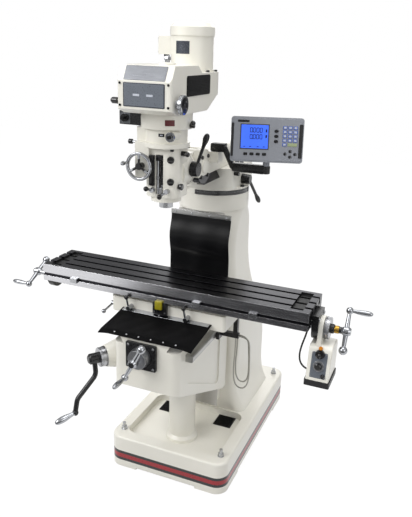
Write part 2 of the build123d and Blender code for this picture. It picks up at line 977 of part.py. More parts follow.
# Elevating crank: cranked bar with a turned grip
with BuildPart() as elevating_crank:
    crank_start = shaft_reach + turn_gap + dial_length
    crank_root = shaft_start + shaft_way * (crank_start + crank_hub_length / 2)
    turn(shaft_start, shaft_way,
         [(crank_start, crank_hub_radius), (crank_start + crank_hub_length, crank_hub_radius),
          (crank_start + crank_hub_length + crank_hub_nose, crank_hub_radius - crank_hub_nose)])
    with BuildLine() as crank_path:
        FilletPolyline(crank_root, crank_root + crank_fall * (crank_straight * crank_reach),
                       crank_root + crank_fall * (crank_knuckle * crank_reach)
                       + shaft_way * (crank_throw * crank_offset),
                       crank_root + crank_fall * crank_reach + shaft_way * crank_offset,
                       radius=crank_bend * crank_reach)
    with BuildSketch(Plane(origin=crank_root, z_dir=crank_fall)) as crank_bar:
        Circle(crank_bar_radius)
    sweep(crank_bar.sketch, path=crank_path.wire())
    crank_end = crank_root + crank_fall * crank_reach + shaft_way * crank_offset
    ball(crank_end, crank_knob_radius)
    grip_way = shaft_way * cos(radians(crank_grip_tilt)) + crank_fall * sin(radians(crank_grip_tilt))
    hand_grip(crank_end, grip_way, crank_grip_length, crank_grip_radius)
    rod(shaft_start + shaft_way * crank_start, crank_root, shaft_radius, Mode.SUBTRACT)
elevating_crank.part.label = "elevating_crank"
export_step(elevating_crank.part, "parts/elevating_crank.step")

# Cross-feed plate: the bearing flange on the front of the knee
with BuildPart() as cross_feed_plate:
    plate_front = knee_front - plate_thickness
    block((cross_x - plate_width / 2, plate_front, cross_z - plate_height / 2),
          (cross_x + plate_width / 2, knee_front, cross_z + plate_height / 2))
    fillet(cross_feed_plate.edges().filter_by(Axis.Y), radius=plate_corner)
    rod((cross_x, plate_front, cross_z), (cross_x, knee_front, cross_z), shaft_radius + run_gap,
        Mode.SUBTRACT)
cross_feed_plate.part.label = "cross_feed_plate"
export_step(cross_feed_plate.part, "parts/cross_feed_plate.step")

# Cross screw: plain thread through the saddle's nut, with its dial
with BuildPart() as cross_screw:
    dial_start = plate_front - turn_gap
    cross_hub = plate_front - cross_dial_length - cross_hub_gap / 2
    cross_end = cross_hub + crank_seat
    turn((cross_x, 0, cross_z), (0, -1, 0),
         [(-nut_slot_rear + cross_end_gap, shaft_radius), (-dial_start, shaft_radius),
          (-dial_start, cross_dial_radius),
          (-dial_start + cross_dial_length, cross_dial_radius - cross_dial_taper),
          (-dial_start + cross_dial_length, cross_end_radius), (-cross_end, cross_end_radius)])
cross_screw.part.label = "cross_screw"
export_step(cross_screw.part, "parts/cross_screw.step")

# Cross crank
with BuildPart() as cross_crank:
    ball_crank((cross_x, cross_hub, cross_z), (0, -1, 0),
               (-sin(radians(cross_swing)), 0, -cos(radians(cross_swing))))
    rod((cross_x, cross_end + ball_hub_radius, cross_z), (cross_x, cross_end, cross_z), cross_end_radius,
        Mode.SUBTRACT)
cross_crank.part.label = "cross_crank"
export_step(cross_crank.part, "parts/cross_crank.step")

# Scale: the aluminium measuring bar on the knee's right side
with BuildPart() as y_scale:
    scale_top = knee_top - scale_drop
    scale_front = knee_front + scale_start
    scale_rear = knee_rear - scale_setback
    block((knee_half, scale_front, scale_top - scale_height),
          (knee_half + scale_width, scale_rear, scale_top))
    chamfer(y_scale.edges().filter_by(Axis.Y).group_by(Axis.X)[-1], length=scale_edge)
y_scale.part.label = "y_scale"
export_step(y_scale.part, "parts/y_scale.step")

# Front way cover: a rubber flap from the saddle down over the knee's ways
with BuildPart() as front_way_cover:
    cover_low = knee_way_top + cover_thickness
    with BuildSketch(Plane.YZ):
        with BuildLine():
            Spline((saddle_front - cover_seat, saddle_bottom + cover_seat_rise),
                   (saddle_front - cover_sag_reach, saddle_bottom + cover_sag_rise),
                   (knee_front + cover_lip, cover_low + cover_lip_rise),
                   (knee_front - cover_lip, cover_low - cover_lip_drop))
        trace(line_width=cover_thickness)
    extrude(amount=cover_half, both=True)
front_way_cover.part.label = "front_way_cover"
export_step(front_way_cover.part, "parts/front_way_cover.step")

# Saddle: dovetails below along Y and above along X, with the cross-feed nut underneath
with BuildPart() as saddle:
    lip_top = saddle_way - saddle_lip
    block((-saddle_half, saddle_front, saddle_bottom), (saddle_half, saddle_rear, lip_top))
    fillet(saddle.edges().filter_by(Axis.Z), radius=saddle_lip_inset)
    block((-saddle_half, saddle_front + saddle_lip_inset, lip_top - join),
          (saddle_half, saddle_rear - saddle_lip_inset, saddle_way))
    for side in (-1, 1):
        arm_low = knee_top + saddle_arm_gap
        way_spread = knee_way_top_half - knee_way_root_half
        low_half = knee_way_root_half + way_spread * saddle_arm_gap / knee_way_height
        with BuildSketch(Plane.XZ.offset(-saddle_rear)):
            with BuildLine():
                Polyline((side * (low_half + 2 * way_gap), arm_low), (side * saddle_arm_half, arm_low),
                         (side * saddle_arm_half, saddle_bottom),
                         (side * (knee_way_top_half + 2 * way_gap), saddle_bottom), close=True)
            make_face()
        extrude(amount=saddle_rear - saddle_front)
    with BuildSketch(Plane.YZ.offset(-saddle_half)):
        with BuildLine():
            Polyline((lead_y - table_way_root_half, saddle_way), (lead_y + table_way_root_half, saddle_way),
                     (lead_y + table_way_top_half, saddle_way + table_way_height),
                     (lead_y - table_way_top_half, saddle_way + table_way_height), close=True)
        make_face()
    extrude(amount=2 * saddle_half)
    block((-saddle_half, lead_y - screw_channel_half, lead_z - screw_channel_half),
          (saddle_half, lead_y + screw_channel_half, saddle_way + table_way_height), Mode.SUBTRACT)
    block((-nut_half, lead_y - screw_channel_half - join, lead_z - screw_channel_half - join),
          (nut_half, lead_y + screw_channel_half + join, lead_z + screw_channel_half))
    rod((-nut_half, lead_y, lead_z), (nut_half, lead_y, lead_z), lead_radius + run_gap, Mode.SUBTRACT)
    block((cross_x - nut_half, lead_y - nut_half_length, cross_z - shaft_radius - nut_wall),
          (cross_x + nut_half, lead_y + nut_half_length, saddle_bottom + join))
    rod((cross_x, lead_y - nut_half_length, cross_z), (cross_x, lead_y + nut_half_length, cross_z),
        shaft_radius + run_gap, Mode.SUBTRACT)
saddle.part.label = "saddle"
export_step(saddle.part, "parts/saddle.step")

# Table: T-slots on top, a stop groove in front, dovetail underneath
with BuildPart() as table:
    block((-table_half, table_front, table_bottom), (table_half, table_rear, table_top))
    table_slots = [(index - (slot_count - 1) / 2) * slot_spacing for index in range(slot_count)]
    for slot_place in table_slots:
        middle = lead_y + slot_place
        block((-table_half, middle - slot_neck / 2, table_top - slot_neck_depth),
              (table_half, middle + slot_neck / 2, table_top), Mode.SUBTRACT)
        block((-table_half, middle - slot_foot / 2, table_top - slot_neck_depth - slot_foot_depth),
              (table_half, middle + slot_foot / 2, table_top - slot_neck_depth), Mode.SUBTRACT)
    for side in (-1, 1):
        with Locations((side * (trough_start + trough_length / 2), lead_y, table_top)):
            Box(trough_length, table_depth - 2 * trough_margin, 2 * trough_depth, mode=Mode.SUBTRACT)
    groove_z = table_top - stop_groove_drop
    block((-table_half, table_front, groove_z - stop_groove_height / 2),
          (table_half, table_front + stop_groove_depth, groove_z + stop_groove_height / 2), Mode.SUBTRACT)
    with BuildSketch(Plane.YZ.offset(-table_half)):
        with BuildLine():
            Polyline((lead_y - table_way_root_half - 2 * way_gap, table_bottom),
                     (lead_y + table_way_root_half + 2 * way_gap, table_bottom),
                     (lead_y + table_way_top_half + 2 * way_gap, table_bottom + table_way_height + way_gap),
                     (lead_y - table_way_top_half - 2 * way_gap, table_bottom + table_way_height + way_gap),
                     close=True)
        make_face()
    extrude(amount=2 * table_half, mode=Mode.SUBTRACT)
table.part.label = "table"
export_step(table.part, "parts/table.step")

# Table stops: dogs clamped in the front groove
stop_places = (stop_left_inset - table_half, table_half - stop_middle_inset, table_half - stop_right_inset)
with BuildPart() as table_stops:
    for x in stop_places:
        block((x - stop_length / 2, table_front - stop_stand, groove_z - stop_groove_height),
              (x + stop_length / 2, table_front, groove_z + stop_groove_height / 2))
        block((x - stop_length / 2, table_front, groove_z - stop_groove_height / 2 + part_gap),
              (x + stop_length / 2, table_front + stop_groove_depth - part_gap,
               groove_z + stop_groove_height / 2 - part_gap))
table_stops.part.label = "table_stops"
export_step(table_stops.part, "parts/table_stops.step")

# Screw brackets: bearing plates at the two ends of the table
with BuildPart() as screw_brackets:
    bracket_top = table_top - bracket_top_drop
    for start in (-table_half - bracket_thickness, table_half):
        with BuildSketch(Plane.YZ.offset(start)):
            with Locations((lead_y, lead_z)):
                Circle(bracket_radius)
            with Locations((lead_y, (lead_z + bracket_top) / 2)):
                Rectangle(2 * bracket_half, bracket_top - lead_z)
            with Locations((lead_y, lead_z)):
                Circle(lead_radius + run_gap, mode=Mode.SUBTRACT)
        extrude(amount=bracket_thickness)
screw_brackets.part.label = "screw_brackets"
export_step(screw_brackets.part, "parts/screw_brackets.step")

# Leadscrew: plain thread with a feed dial on its right end
bracket_face = table_half + bracket_thickness
dial_place = bracket_face + feed_neck_length + feed_dial_gap
crank_place = bracket_face + feed_neck_length + feed_dial_gap + feed_dial_length + crank_stand
left_crank_place = bracket_face + feed_dial_length + crank_stand + ball_hub_radius / 2
left_dial_start = -bracket_face - turn_gap - feed_dial_length
with BuildPart() as lead_screw:
    turn((0, lead_y, lead_z), (1, 0, 0),
         [(-left_crank_place + crank_seat, lead_end_radius), (left_dial_start, lead_end_radius),
          (left_dial_start, left_dial_radius), (-bracket_face - turn_gap, left_dial_radius),
          (-bracket_face - turn_gap, lead_radius), (dial_place, lead_radius), (dial_place, dial_radius),
          (dial_place + feed_dial_length, dial_radius), (dial_place + feed_dial_length, lead_end_radius),
          (crank_place - crank_seat, lead_end_radius)])
lead_screw.part.label = "lead_screw"
export_step(lead_screw.part, "parts/lead_screw.step")

# Table cranks: one bright crank at each end of the leadscrew
with BuildPart() as table_cranks:
    ball_crank((-left_crank_place, lead_y, lead_z), (-1, 0, 0),
               (0, -sin(radians(left_swing)), cos(radians(left_swing))))
    ball_crank((crank_place, lead_y, lead_z), (1, 0, 0),
               (0, sin(radians(180 - right_swing)), -cos(radians(right_swing))))
    rod((-left_crank_place + crank_seat, lead_y, lead_z), (crank_place - crank_seat, lead_y, lead_z),
        lead_end_radius, Mode.SUBTRACT)
table_cranks.part.label = "table_cranks"
export_step(table_cranks.part, "parts/table_cranks.step")

# Power feed: motor housing that hangs under the right end of the table
with BuildPart() as feed_housing:
    pad_top = feed_bottom + feed_pad
    feed_back = feed_rear - feed_pad_step
    with BuildSketch(Plane.YZ.offset(feed_left)):
        with BuildLine():
            Polyline((feed_front + feed_pad_step, pad_top), (feed_back, pad_top), (feed_back, feed_top),
                     (feed_front + feed_lean, feed_top), close=True)
        make_face()
    extrude(amount=feed_right - feed_left)
    fillet(feed_housing.edges().filter_by(Axis.X).group_by(Axis.Z)[-1], radius=2 * feed_edge)
    fillet(feed_housing.faces().sort_by(Axis.X)[-1].edges(), radius=feed_edge / 2)
    block((feed_left - feed_pad_step, feed_front, feed_bottom),
          (feed_right + feed_pad_step, feed_rear, pad_top))
    fillet(feed_housing.edges().filter_by(Axis.Z), radius=feed_edge / 2)
    rod((bracket_face, lead_y, lead_z), (bracket_face + feed_neck_length, lead_y, lead_z), feed_neck_radius)
    with BuildSketch(Plane.YZ.offset(bracket_face)):
        with BuildLine():
            Polyline((feed_front + feed_lean, feed_top - 2 * feed_edge),
                     (feed_rear - feed_neck_inset, feed_top - 2 * feed_edge),
                     (lead_y + feed_neck_radius - room, lead_z + feed_neck_rise),
                     (lead_y - feed_neck_radius + room, lead_z + feed_neck_rise), close=True)
        make_face()
    extrude(amount=feed_neck_length)
    rod((bracket_face, lead_y, lead_z), (bracket_face + feed_neck_length, lead_y, lead_z),
        lead_radius + run_gap,
        Mode.SUBTRACT)
feed_housing.part.label = "feed_housing"
export_step(feed_housing.part, "parts/feed_housing.step")

# Feed controls on the sloping front: a direction lever and a speed knob
feed_slope = Vector(0, feed_lean - feed_pad_step, feed_top - pad_top).normalized()
feed_out = Vector(0, -feed_slope.Z, feed_slope.Y)
feed_middle = (feed_left + feed_right) / 2


def feed_point(rise, stand):
    """Point on the power feed's sloping front, some way out of it."""
    on_face = Vector(feed_middle, feed_front + feed_pad_step, pad_top) + feed_slope * rise
    return on_face + feed_out * stand


with BuildPart() as speed_knob:
    turn(feed_point(knob_rise, turn_gap), feed_out,
         [(0, knob_radius), (knob_length / 2, knob_radius), (knob_length, knob_radius - knob_taper),
          (knob_length + knob_crown, knob_radius - 2 * knob_taper)])
speed_knob.part.label = "speed_knob"
export_step(speed_knob.part, "parts/speed_knob.step")

with BuildPart() as feed_lever:
    turn(feed_point(lever_rise, turn_gap), feed_out,
         [(0, feed_lever_radius), (knob_length / 2, feed_lever_radius - knob_crown),
          (knob_length / 2, small_hub_radius), (2 * knob_length, small_hub_radius),
          (2 * knob_length + feed_lever_crown, feed_lever_tip)])
feed_lever.part.label = "feed_lever"
export_step(feed_lever.part, "parts/feed_lever.step")

# Table lock levers on the front of the saddle
lock_z = lip_top - lock_drop
lock_tip_y = table_front - small_ball_radius - lock_clear
lock_hub_length = saddle_front - lock_tip_y + lock_nose
with BuildPart() as table_lock_left:
    lock_x = lock_left_inset - saddle_half
    ball_lever((lock_x, saddle_front - turn_gap, lock_z), (0, -1, 0), lock_hub_length,
               (lock_x - lock_lean, lock_tip_y, lock_z + lock_rise))
table_lock_left.part.label = "table_lock_left"
export_step(table_lock_left.part, "parts/table_lock_left.step")

with BuildPart() as table_lock_right:
    lock_x = saddle_half - lock_right_inset
    ball_lever((lock_x, saddle_front - turn_gap, lock_z), (0, -1, 0), lock_hub_length,
               (lock_x - lock_lean, lock_tip_y, lock_z + lock_rise))
table_lock_right.part.label = "table_lock_right"
export_step(table_lock_right.part, "parts/table_lock_right.step")

# Saddle lock lever on its left side
with BuildPart() as saddle_lock:
    lock_y = saddle_front + saddle_lock_setback
    lock_low = saddle_bottom + saddle_lock_rise
    ball_lever((-saddle_half - turn_gap, lock_y, lock_low), (-1, 0, 0), saddle_lock_hub,
               (-saddle_half - saddle_lock_stand, lock_y - saddle_lock_reach, lock_low - saddle_lock_dip))
saddle_lock.part.label = "saddle_lock"
export_step(saddle_lock.part, "parts/saddle_lock.step")

# Scale reader: bracket under the saddle whose head runs along the scale
reader_rear = saddle_rear - reader_setback
reader_front = reader_rear - reader_length
reader_low = scale_top - scale_height - reader_dip
reader_high = reader_low + reader_height
reader_right = saddle_half + reader_stand
reader_left = knee_half + scale_width + part_gap
hanger_right = saddle_half - reader_hanger_inset
with BuildPart() as scale_reader:
    block((hanger_right - reader_length, reader_front, reader_low),
          (hanger_right, reader_rear, saddle_bottom))
    block((reader_left, reader_front, reader_low), (reader_right, reader_rear, reader_high))
    block((reader_left, reader_front - reader_head_length, reader_low),
          (reader_left + reader_head_width, reader_front, scale_top))
scale_reader.part.label = "scale_reader"
export_step(scale_reader.part, "parts/scale_reader.step")

# Armoured leads that hang in loops from the reader
reader_middle = (reader_low + reader_high) / 2
outer_x = saddle_half - cable_inset
inner_x = outer_x + cable_shift
inner_y = reader_rear - reader_length / 5
outer_y = inner_y - cable_spacing
outer_loop = [(0, 74), (-4, 130), (-3, 182), (2, 224), (20, 248), (48, 248), (66, 224), (72, 180),
              (71, 120), (69, 70)]
inner_loop = [(0, 70), (-4, 120), (-3, 164), (2, 196), (17, 220), (43, 220), (58, 196), (61, 152),
              (59, 102), (56, 64)]
outer_lead = [
    (outer_x, outer_y, reader_low),
    *[(outer_x + over, outer_y, reader_low - down) for over, down in outer_loop],
    (outer_x + outer_bow, outer_y, reader_middle - cable_turn),
    (outer_x + outer_bow - cable_turn, outer_y, reader_middle),
    (reader_right, outer_y, reader_middle),
]
inner_lead = [
    (inner_x, inner_y, reader_low),
    *[(inner_x + over, inner_y, reader_low - down) for over, down in inner_loop],
    (inner_x + inner_bow, inner_y, reader_middle - cable_turn),
    (inner_x + inner_bow - cable_turn, inner_y, reader_middle),
    (reader_right, inner_y, reader_middle),
]
with BuildPart() as outer_cable:
    cord(outer_lead, cable_radius)
outer_cable.part.label = "outer_cable"
export_step(outer_cable.part, "parts/outer_cable.step")

with BuildPart() as inner_cable:
    cord(inner_lead, cable_radius)
inner_cable.part.label = "inner_cable"
export_step(inner_cable.part, "parts/inner_cable.step")

# Power feed cord: from under the table's rear edge to the back of the feed housing
cord_x = table_half - cord_inset
cord_y = table_rear - cord_edge
socket_x = feed_left + socket_inset
socket_z = pad_top + socket_rise
cord_hang = [(0, 56), (-6, 112), (-23, 172), (-31, 226), (-20, 266), (14, 286), (58, 281), (92, 256)]
feed_lead = [
    (cord_x, cord_y, table_bottom),
    *[(cord_x + over, cord_y, table_bottom - down) for over, down in cord_hang],
    (socket_x - cord_lean, cord_y, socket_z - cord_turn), (socket_x, cord_y - cord_turn, socket_z),
    (socket_x, feed_back, socket_z),
]
with BuildPart() as feed_cord:
    cord(feed_lead, feed_cord_radius)
feed_cord.part.label = "feed_cord"
export_step(feed_cord.part, "parts/feed_cord.step")

# Turret: round swivel base with the guide for the ram
handle_z = ram_bottom - ram_pinion_radius - turn_gap
with BuildPart() as turret:
    step_z = turret_bottom + ring_height + turret_step
    rod((0, column_axis_y, turret_bottom), (0, column_axis_y, step_z), flange_radius)
    with BuildSketch(Plane.XY.offset(step_z)):
        with Locations((0, (turret_front + turret_rear) / 2)):
            RectangleRounded(2 * turret_half, turret_rear - turret_front, turret_corner)
    extrude(amount=turret_top - step_z)
    with BuildSketch(Plane.XZ.offset(-turret_rear)):
        with BuildLine():
            Polyline((-ram_way_bottom_half - 2 * way_gap, ram_bottom - way_gap),
                     (ram_way_bottom_half + 2 * way_gap, ram_bottom - way_gap),
                     (ram_way_top_half + 2 * way_gap, turret_top),
                     (-ram_way_top_half - 2 * way_gap, turret_top),
                     close=True)
        make_face()
    extrude(amount=turret_rear - turret_front, mode=Mode.SUBTRACT)
    rod((-ram_pinion_half - room, handle_y, handle_z), (ram_pinion_half + room, handle_y, handle_z),
        ram_pinion_radius + room, Mode.SUBTRACT)
    rod((0, handle_y, handle_z), (turret_half, handle_y, handle_z), handle_shaft_radius + run_gap,
        Mode.SUBTRACT)
turret.part.label = "turret"
export_step(turret.part, "parts/turret.step")

# Ram lock levers on the right of the turret
lock_level = turret_top - ram_lock_drop
with BuildPart() as ram_lock_front:
    ball_lever((turret_half + turn_gap, lock_front_y, lock_level), (1, 0, 0), ram_lock_hub,
               (turret_half + ram_lock_stand, lock_front_y - front_lock_advance,
                lock_level + front_lock_rise))
ram_lock_front.part.label = "ram_lock_front"
export_step(ram_lock_front.part, "parts/ram_lock_front.step")

with BuildPart() as ram_lock_rear:
    ball_lever((turret_half + turn_gap, lock_rear_y, lock_level), (1, 0, 0), ram_lock_hub,
               (turret_half + ram_lock_stand, lock_rear_y - rear_lock_advance,
                lock_level + rear_lock_rise))
ram_lock_rear.part.label = "ram_lock_rear"
export_step(ram_lock_rear.part, "parts/ram_lock_rear.step")

# Ram handle: pinion under the ram, shaft and lever
with BuildPart() as ram_handle:
    hub_start = turret_half + turn_gap
    turn((0, handle_y, handle_z), (1, 0, 0),
         [(-ram_pinion_half, ram_pinion_radius), (ram_pinion_half, ram_pinion_radius),
          (ram_pinion_half, handle_shaft_radius), (hub_start, handle_shaft_radius),
          (hub_start, handle_hub_radius), (hub_start + handle_stand, handle_hub_radius - handle_hub_taper)])
    lever_root = Vector(hub_start + handle_stand - handle_set, handle_y, handle_z)
    lever_way = Vector(handle_lean, cos(radians(handle_angle)), -sin(radians(handle_angle))).normalized()
    grip_root = lever_root + lever_way * (handle_reach - handle_grip)
    rod(lever_root, grip_root + lever_way * handle_grip_lap, handle_bar_radius)
    hand_grip(grip_root, lever_way, handle_grip, handle_grip_radius)
ram_handle.part.label = "ram_handle"
export_step(ram_handle.part, "parts/ram_handle.step")

# Ram: dovetail bar with a fork in front for the adapter and a boss for the display arm
boss_top = ram_top - boss_drop
boss_x = ram_half + boss_stand
with BuildPart() as ram:
    with BuildSketch(Plane.XZ.offset(-ram_rear)):
        with BuildLine():
            Polyline((-ram_way_bottom_half, ram_bottom), (ram_way_bottom_half, ram_bottom),
                     (ram_way_top_half, turret_top), (ram_way_top_half, turret_top + part_gap),
                     (-ram_way_top_half, turret_top + part_gap), (-ram_way_top_half, turret_top),
                     close=True)
        make_face()
    extrude(amount=ram_rear - pivot_y)
    with BuildSketch(Plane.XZ.offset(-ram_rear)):
        with Locations((0, (turret_top + part_gap + ram_top) / 2)):
            Rectangle(2 * ram_half, ram_top - turret_top - part_gap)
    extrude(amount=ram_rear - pivot_y)
    fillet(ram.edges().filter_by(Axis.Y).group_by(Axis.Z)[-1], radius=ram_round)
    rod((-ram_half, pivot_y, pivot_z), (ram_half, pivot_y, pivot_z), cheek_radius)
    block((ram_half - boss_margin, boss_y - boss_length / 2, boss_top - boss_height),
          (boss_x + boss_margin, boss_y + boss_length / 2, boss_top))
    block((-fork_half, pivot_y - cheek_radius, ram_bottom - cheek_radius),
          (fork_half, pivot_y + tongue_radius + fork_room, ram_top + cheek_radius), Mode.SUBTRACT)
    block((-ram_hollow_half, pivot_y + tongue_radius + fork_room + ram_wall, turret_top + part_gap),
          (ram_hollow_half, ram_rear, ram_top - ram_wall), Mode.SUBTRACT)
    rod((-ram_half, pivot_y, pivot_z), (ram_half, pivot_y, pivot_z), pivot_radius + run_gap, Mode.SUBTRACT)
    rod((boss_x, boss_y, boss_top - boss_height), (boss_x, boss_y, boss_top), arm_pin_radius + run_gap,
        Mode.SUBTRACT)
ram.part.label = "ram"
export_step(ram.part, "parts/ram.step")

# Ram adapter: tongue in the fork, pivot pin and the round flange that the head turns on
with BuildPart() as ram_adapter:
    tongue_half = fork_half - part_gap
    flange_start = pivot_y - adapter_flange_start
    rod((-tongue_half, pivot_y, pivot_z), (tongue_half, pivot_y, pivot_z), tongue_radius)
    tongue_rise = tongue_radius - tongue_trim
    block((-tongue_half, flange_start - tongue_lap, pivot_z - tongue_rise),
          (tongue_half, pivot_y, pivot_z + tongue_rise))
    rod((0, flange_start, pivot_z), (0, adapter_face, pivot_z), adapter_flange_radius)
    rod((-ram_half, pivot_y, pivot_z), (ram_half, pivot_y, pivot_z), pivot_radius)
ram_adapter.part.label = "ram_adapter"
export_step(ram_adapter.part, "parts/ram_adapter.step")

# Quill housing: the head's main casting, with the feed apron on its left
pinion_y = spindle_y + quill_radius + pinion_radius + part_gap
pinion_z = pivot_z + pinion_rise
head_lip = pivot_z - head_lip_drop
hub_x = adapter_flange_radius + quill_hub_gap
with BuildPart() as quill_housing:
    body_back = (pinion_y + head_back) / 2
    with BuildSketch(Plane.XY.offset(head_bottom)):
        with Locations((0, (head_front + body_back) / 2)):
            RectangleRounded(2 * head_half, body_back - head_front, head_corner)
    extrude(amount=head_top - head_bottom)
    rod((0, spindle_y, head_lip), (0, spindle_y, head_bottom), head_lip_radius)
    rod((0, spindle_y, head_top - head_flange_height), (0, spindle_y, head_top), head_flange_radius)
    rod((0, spindle_y, pivot_z), (0, head_back, pivot_z), adapter_flange_radius)
    block((-apron_left, apron_front, pivot_z - apron_low), (-apron_right, apron_rear, head_top))
    rod((0, spindle_y, head_lip), (0, spindle_y, head_top), quill_radius + run_gap, Mode.SUBTRACT)
    block((-quill_slot_half, head_front, pivot_z - quill_slot_low),
          (quill_slot_half, spindle_y, pivot_z + quill_slot_high), Mode.SUBTRACT)
    rod((-pinion_bore_end, pinion_y, pinion_z), (hub_x, pinion_y, pinion_z), pinion_radius + run_gap,
        Mode.SUBTRACT)
quill_housing.part.label = "quill_housing"
export_step(quill_housing.part, "parts/quill_housing.step")

# Quill: the sleeve that slides in the head
quill_bottom = pivot_z - quill_nose_drop
quill_top = pivot_z + quill_top_rise
with BuildPart() as quill:
    rod((0, spindle_y, quill_bottom), (0, spindle_y, quill_top), quill_radius)
    rod((0, spindle_y, quill_bottom), (0, spindle_y, quill_top), spindle_radius + run_gap, Mode.SUBTRACT)
quill.part.label = "quill"
export_step(quill.part, "parts/quill.step")

# Spindle: taper nose below, splined shaft above
with BuildPart() as spindle:
    nose_bottom = quill_bottom - turn_gap - nose_length
    turn((0, spindle_y, 0), (0, 0, 1),
         [(nose_bottom, nose_radius), (quill_bottom - turn_gap, nose_radius),
          (quill_bottom - turn_gap, spindle_radius), (quill_top, spindle_radius),
          (quill_top, spline_radius),
          (belt_top, spline_radius), (belt_top, drawbar_radius), (drawbar_top, drawbar_radius)])
    turn((0, spindle_y, 0), (0, 0, 1),
         [(nose_bottom, taper_mouth), (nose_bottom + taper_length, taper_bore),
          (nose_bottom + taper_depth, taper_bore)], Mode.SUBTRACT)
spindle.part.label = "spindle"
export_step(spindle.part, "parts/spindle.step")

# Quill feed lever with its pinion
with BuildPart() as quill_lever:
    turn((0, pinion_y, pinion_z), (1, 0, 0),
         [(pinion_end_gap - pinion_bore_end, pinion_radius), (hub_x, pinion_radius),
          (hub_x, quill_hub_radius),
          (hub_x + quill_hub_length, quill_hub_radius - quill_hub_taper)])
    quill_lever_root = Vector(hub_x + quill_hub_length / 2, pinion_y, pinion_z)
    quill_lever_way = Vector(sin(radians(quill_lever_lean)), 0, cos(radians(quill_lever_lean)))
    quill_grip_root = quill_lever_root + quill_lever_way * (quill_lever_length - quill_grip)
    rod(quill_lever_root, quill_grip_root + quill_lever_way * quill_grip_lap, quill_bar_radius)
    hand_grip(quill_grip_root, quill_lever_way, quill_grip, quill_grip_radius)
quill_lever.part.label = "quill_lever"
export_step(quill_lever.part, "parts/quill_lever.step")

# Gear housing between the quill housing and the belt housing
with BuildPart() as gear_housing:
    ring_top = head_top + gear_height
    turn((0, spindle_y, 0), (0, 0, 1),
         [(head_top, gear_radius), (ring_top, gear_radius), (ring_top, neck_radius),
          (gear_top, neck_radius)])
    block((-apron_left - gear_box_stand, spindle_y - gear_box_half, head_top),
          (-gear_radius / 2, spindle_y + gear_box_half, ring_top))
    rod((0, spindle_y, head_top + gear_wall), (0, spindle_y, gear_top - gear_wall), gear_radius - gear_wall,
        Mode.SUBTRACT)
    rod((0, spindle_y, head_top), (0, spindle_y, head_top + gear_wall), bearing_radius, Mode.SUBTRACT)
    rod((0, spindle_y, gear_top - gear_wall), (0, spindle_y, gear_top), bearing_radius + run_gap,
        Mode.SUBTRACT)
    rate_z = head_top + rate_rise
    rate_face = spindle_y - neck_radius
    rod((rate_x, spindle_y - rate_boss_root, rate_z), (rate_x, rate_face, rate_z), rate_boss_radius)
    rod((rate_x, rate_face, rate_z), (rate_x, rate_face + rate_pin_length + room, rate_z),
        rate_pin_radius + run_gap, Mode.SUBTRACT)
gear_housing.part.label = "gear_housing"
export_step(gear_housing.part, "parts/gear_housing.step")


def housing_form(inset):
    """Belt housing's form, drawn in by a wall: its side profile cut to its plan."""
    with BuildPart() as form:
        with BuildSketch(Plane.YZ.offset(-belt_half)):
            with BuildLine():
                Polyline((belt_front, belt_floor + belt_bottom_rise), (belt_front, belt_front_top),
                         (belt_front + belt_slope, belt_top), (belt_drop_start, belt_top),
                         (belt_drop_end, belt_rear_top), (motor_y + belt_half, belt_rear_top),
                         (motor_y + belt_half, belt_rear_bottom), (belt_rear_start, belt_rear_bottom),
                         (belt_rear_end, belt_floor), (belt_chin, belt_floor), close=True)
            make_face()
            if inset:
                offset(amount=-inset, kind=Kind.INTERSECTION, mode=Mode.REPLACE)
        extrude(amount=2 * belt_half)
        with BuildSketch(Plane.XY.offset(belt_floor)):
            with Locations((0, motor_y)):
                Circle(belt_half)
            with Locations((0, (belt_front + motor_y) / 2)):
                Rectangle(2 * belt_half, motor_y - belt_front)
            if inset:
                offset(amount=-inset, kind=Kind.INTERSECTION, mode=Mode.REPLACE)
        extrude(amount=belt_top - belt_floor, mode=Mode.INTERSECT)
    return form.part


# Belt housing: thin shell over the two pulleys
housing_outside = housing_form(0)
housing_inside = housing_form(belt_wall)
with BuildPart() as belt_housing:
    add(housing_outside)
    fillet(belt_housing.faces().sort_by(Axis.Y)[0].edges().filter_by(Axis.Z), radius=belt_edge)
    add(housing_inside, mode=Mode.SUBTRACT)
    rod((0, spindle_y, belt_floor), (0, spindle_y, belt_floor + belt_wall),
        bearing_radius + belt_floor_hole,
        Mode.SUBTRACT)
    rod((0, spindle_y, belt_top - belt_wall), (0, spindle_y, belt_top), spline_radius + belt_shaft_hole,
        Mode.SUBTRACT)
    rod((0, motor_y, belt_rear_top - belt_wall), (0, motor_y, belt_rear_top),
        motor_shaft_radius + belt_shaft_hole,
        Mode.SUBTRACT)
belt_housing.part.label = "belt_housing"
export_step(belt_housing.part, "parts/belt_housing.step")


def pulley(centre_y, radius):
    """Grooved pulley on a vertical line, in the piece being built."""
    turn((0, centre_y, belt_level), (0, 0, 1),
         [(-pulley_half, radius), (-belt_half_width - groove_slope, radius),
          (-belt_half_width - part_gap, radius - groove_depth),
          (belt_half_width + part_gap, radius - groove_depth),
          (belt_half_width + groove_slope, radius), (pulley_half, radius)])


# Spindle pulley, carried in the gear housing's top bearing
with BuildPart() as spindle_pulley:
    pulley(spindle_y, spindle_pulley_radius)
    rod((0, spindle_y, gear_top - gear_wall), (0, spindle_y, belt_level), bearing_radius)
    rod((0, spindle_y, gear_top - gear_wall), (0, spindle_y, belt_level + pulley_half),
        spline_radius + run_gap,
        Mode.SUBTRACT)
spindle_pulley.part.label = "spindle_pulley"
export_step(spindle_pulley.part, "parts/spindle_pulley.step")

# Motor pulley on the motor's shaft
with BuildPart() as motor_pulley:
    pulley(motor_y, motor_pulley_radius)
    rod((0, motor_y, belt_level), (0, motor_y, motor_bottom + motor_socket), motor_shaft_radius)
motor_pulley.part.label = "motor_pulley"
export_step(motor_pulley.part, "parts/motor_pulley.step")

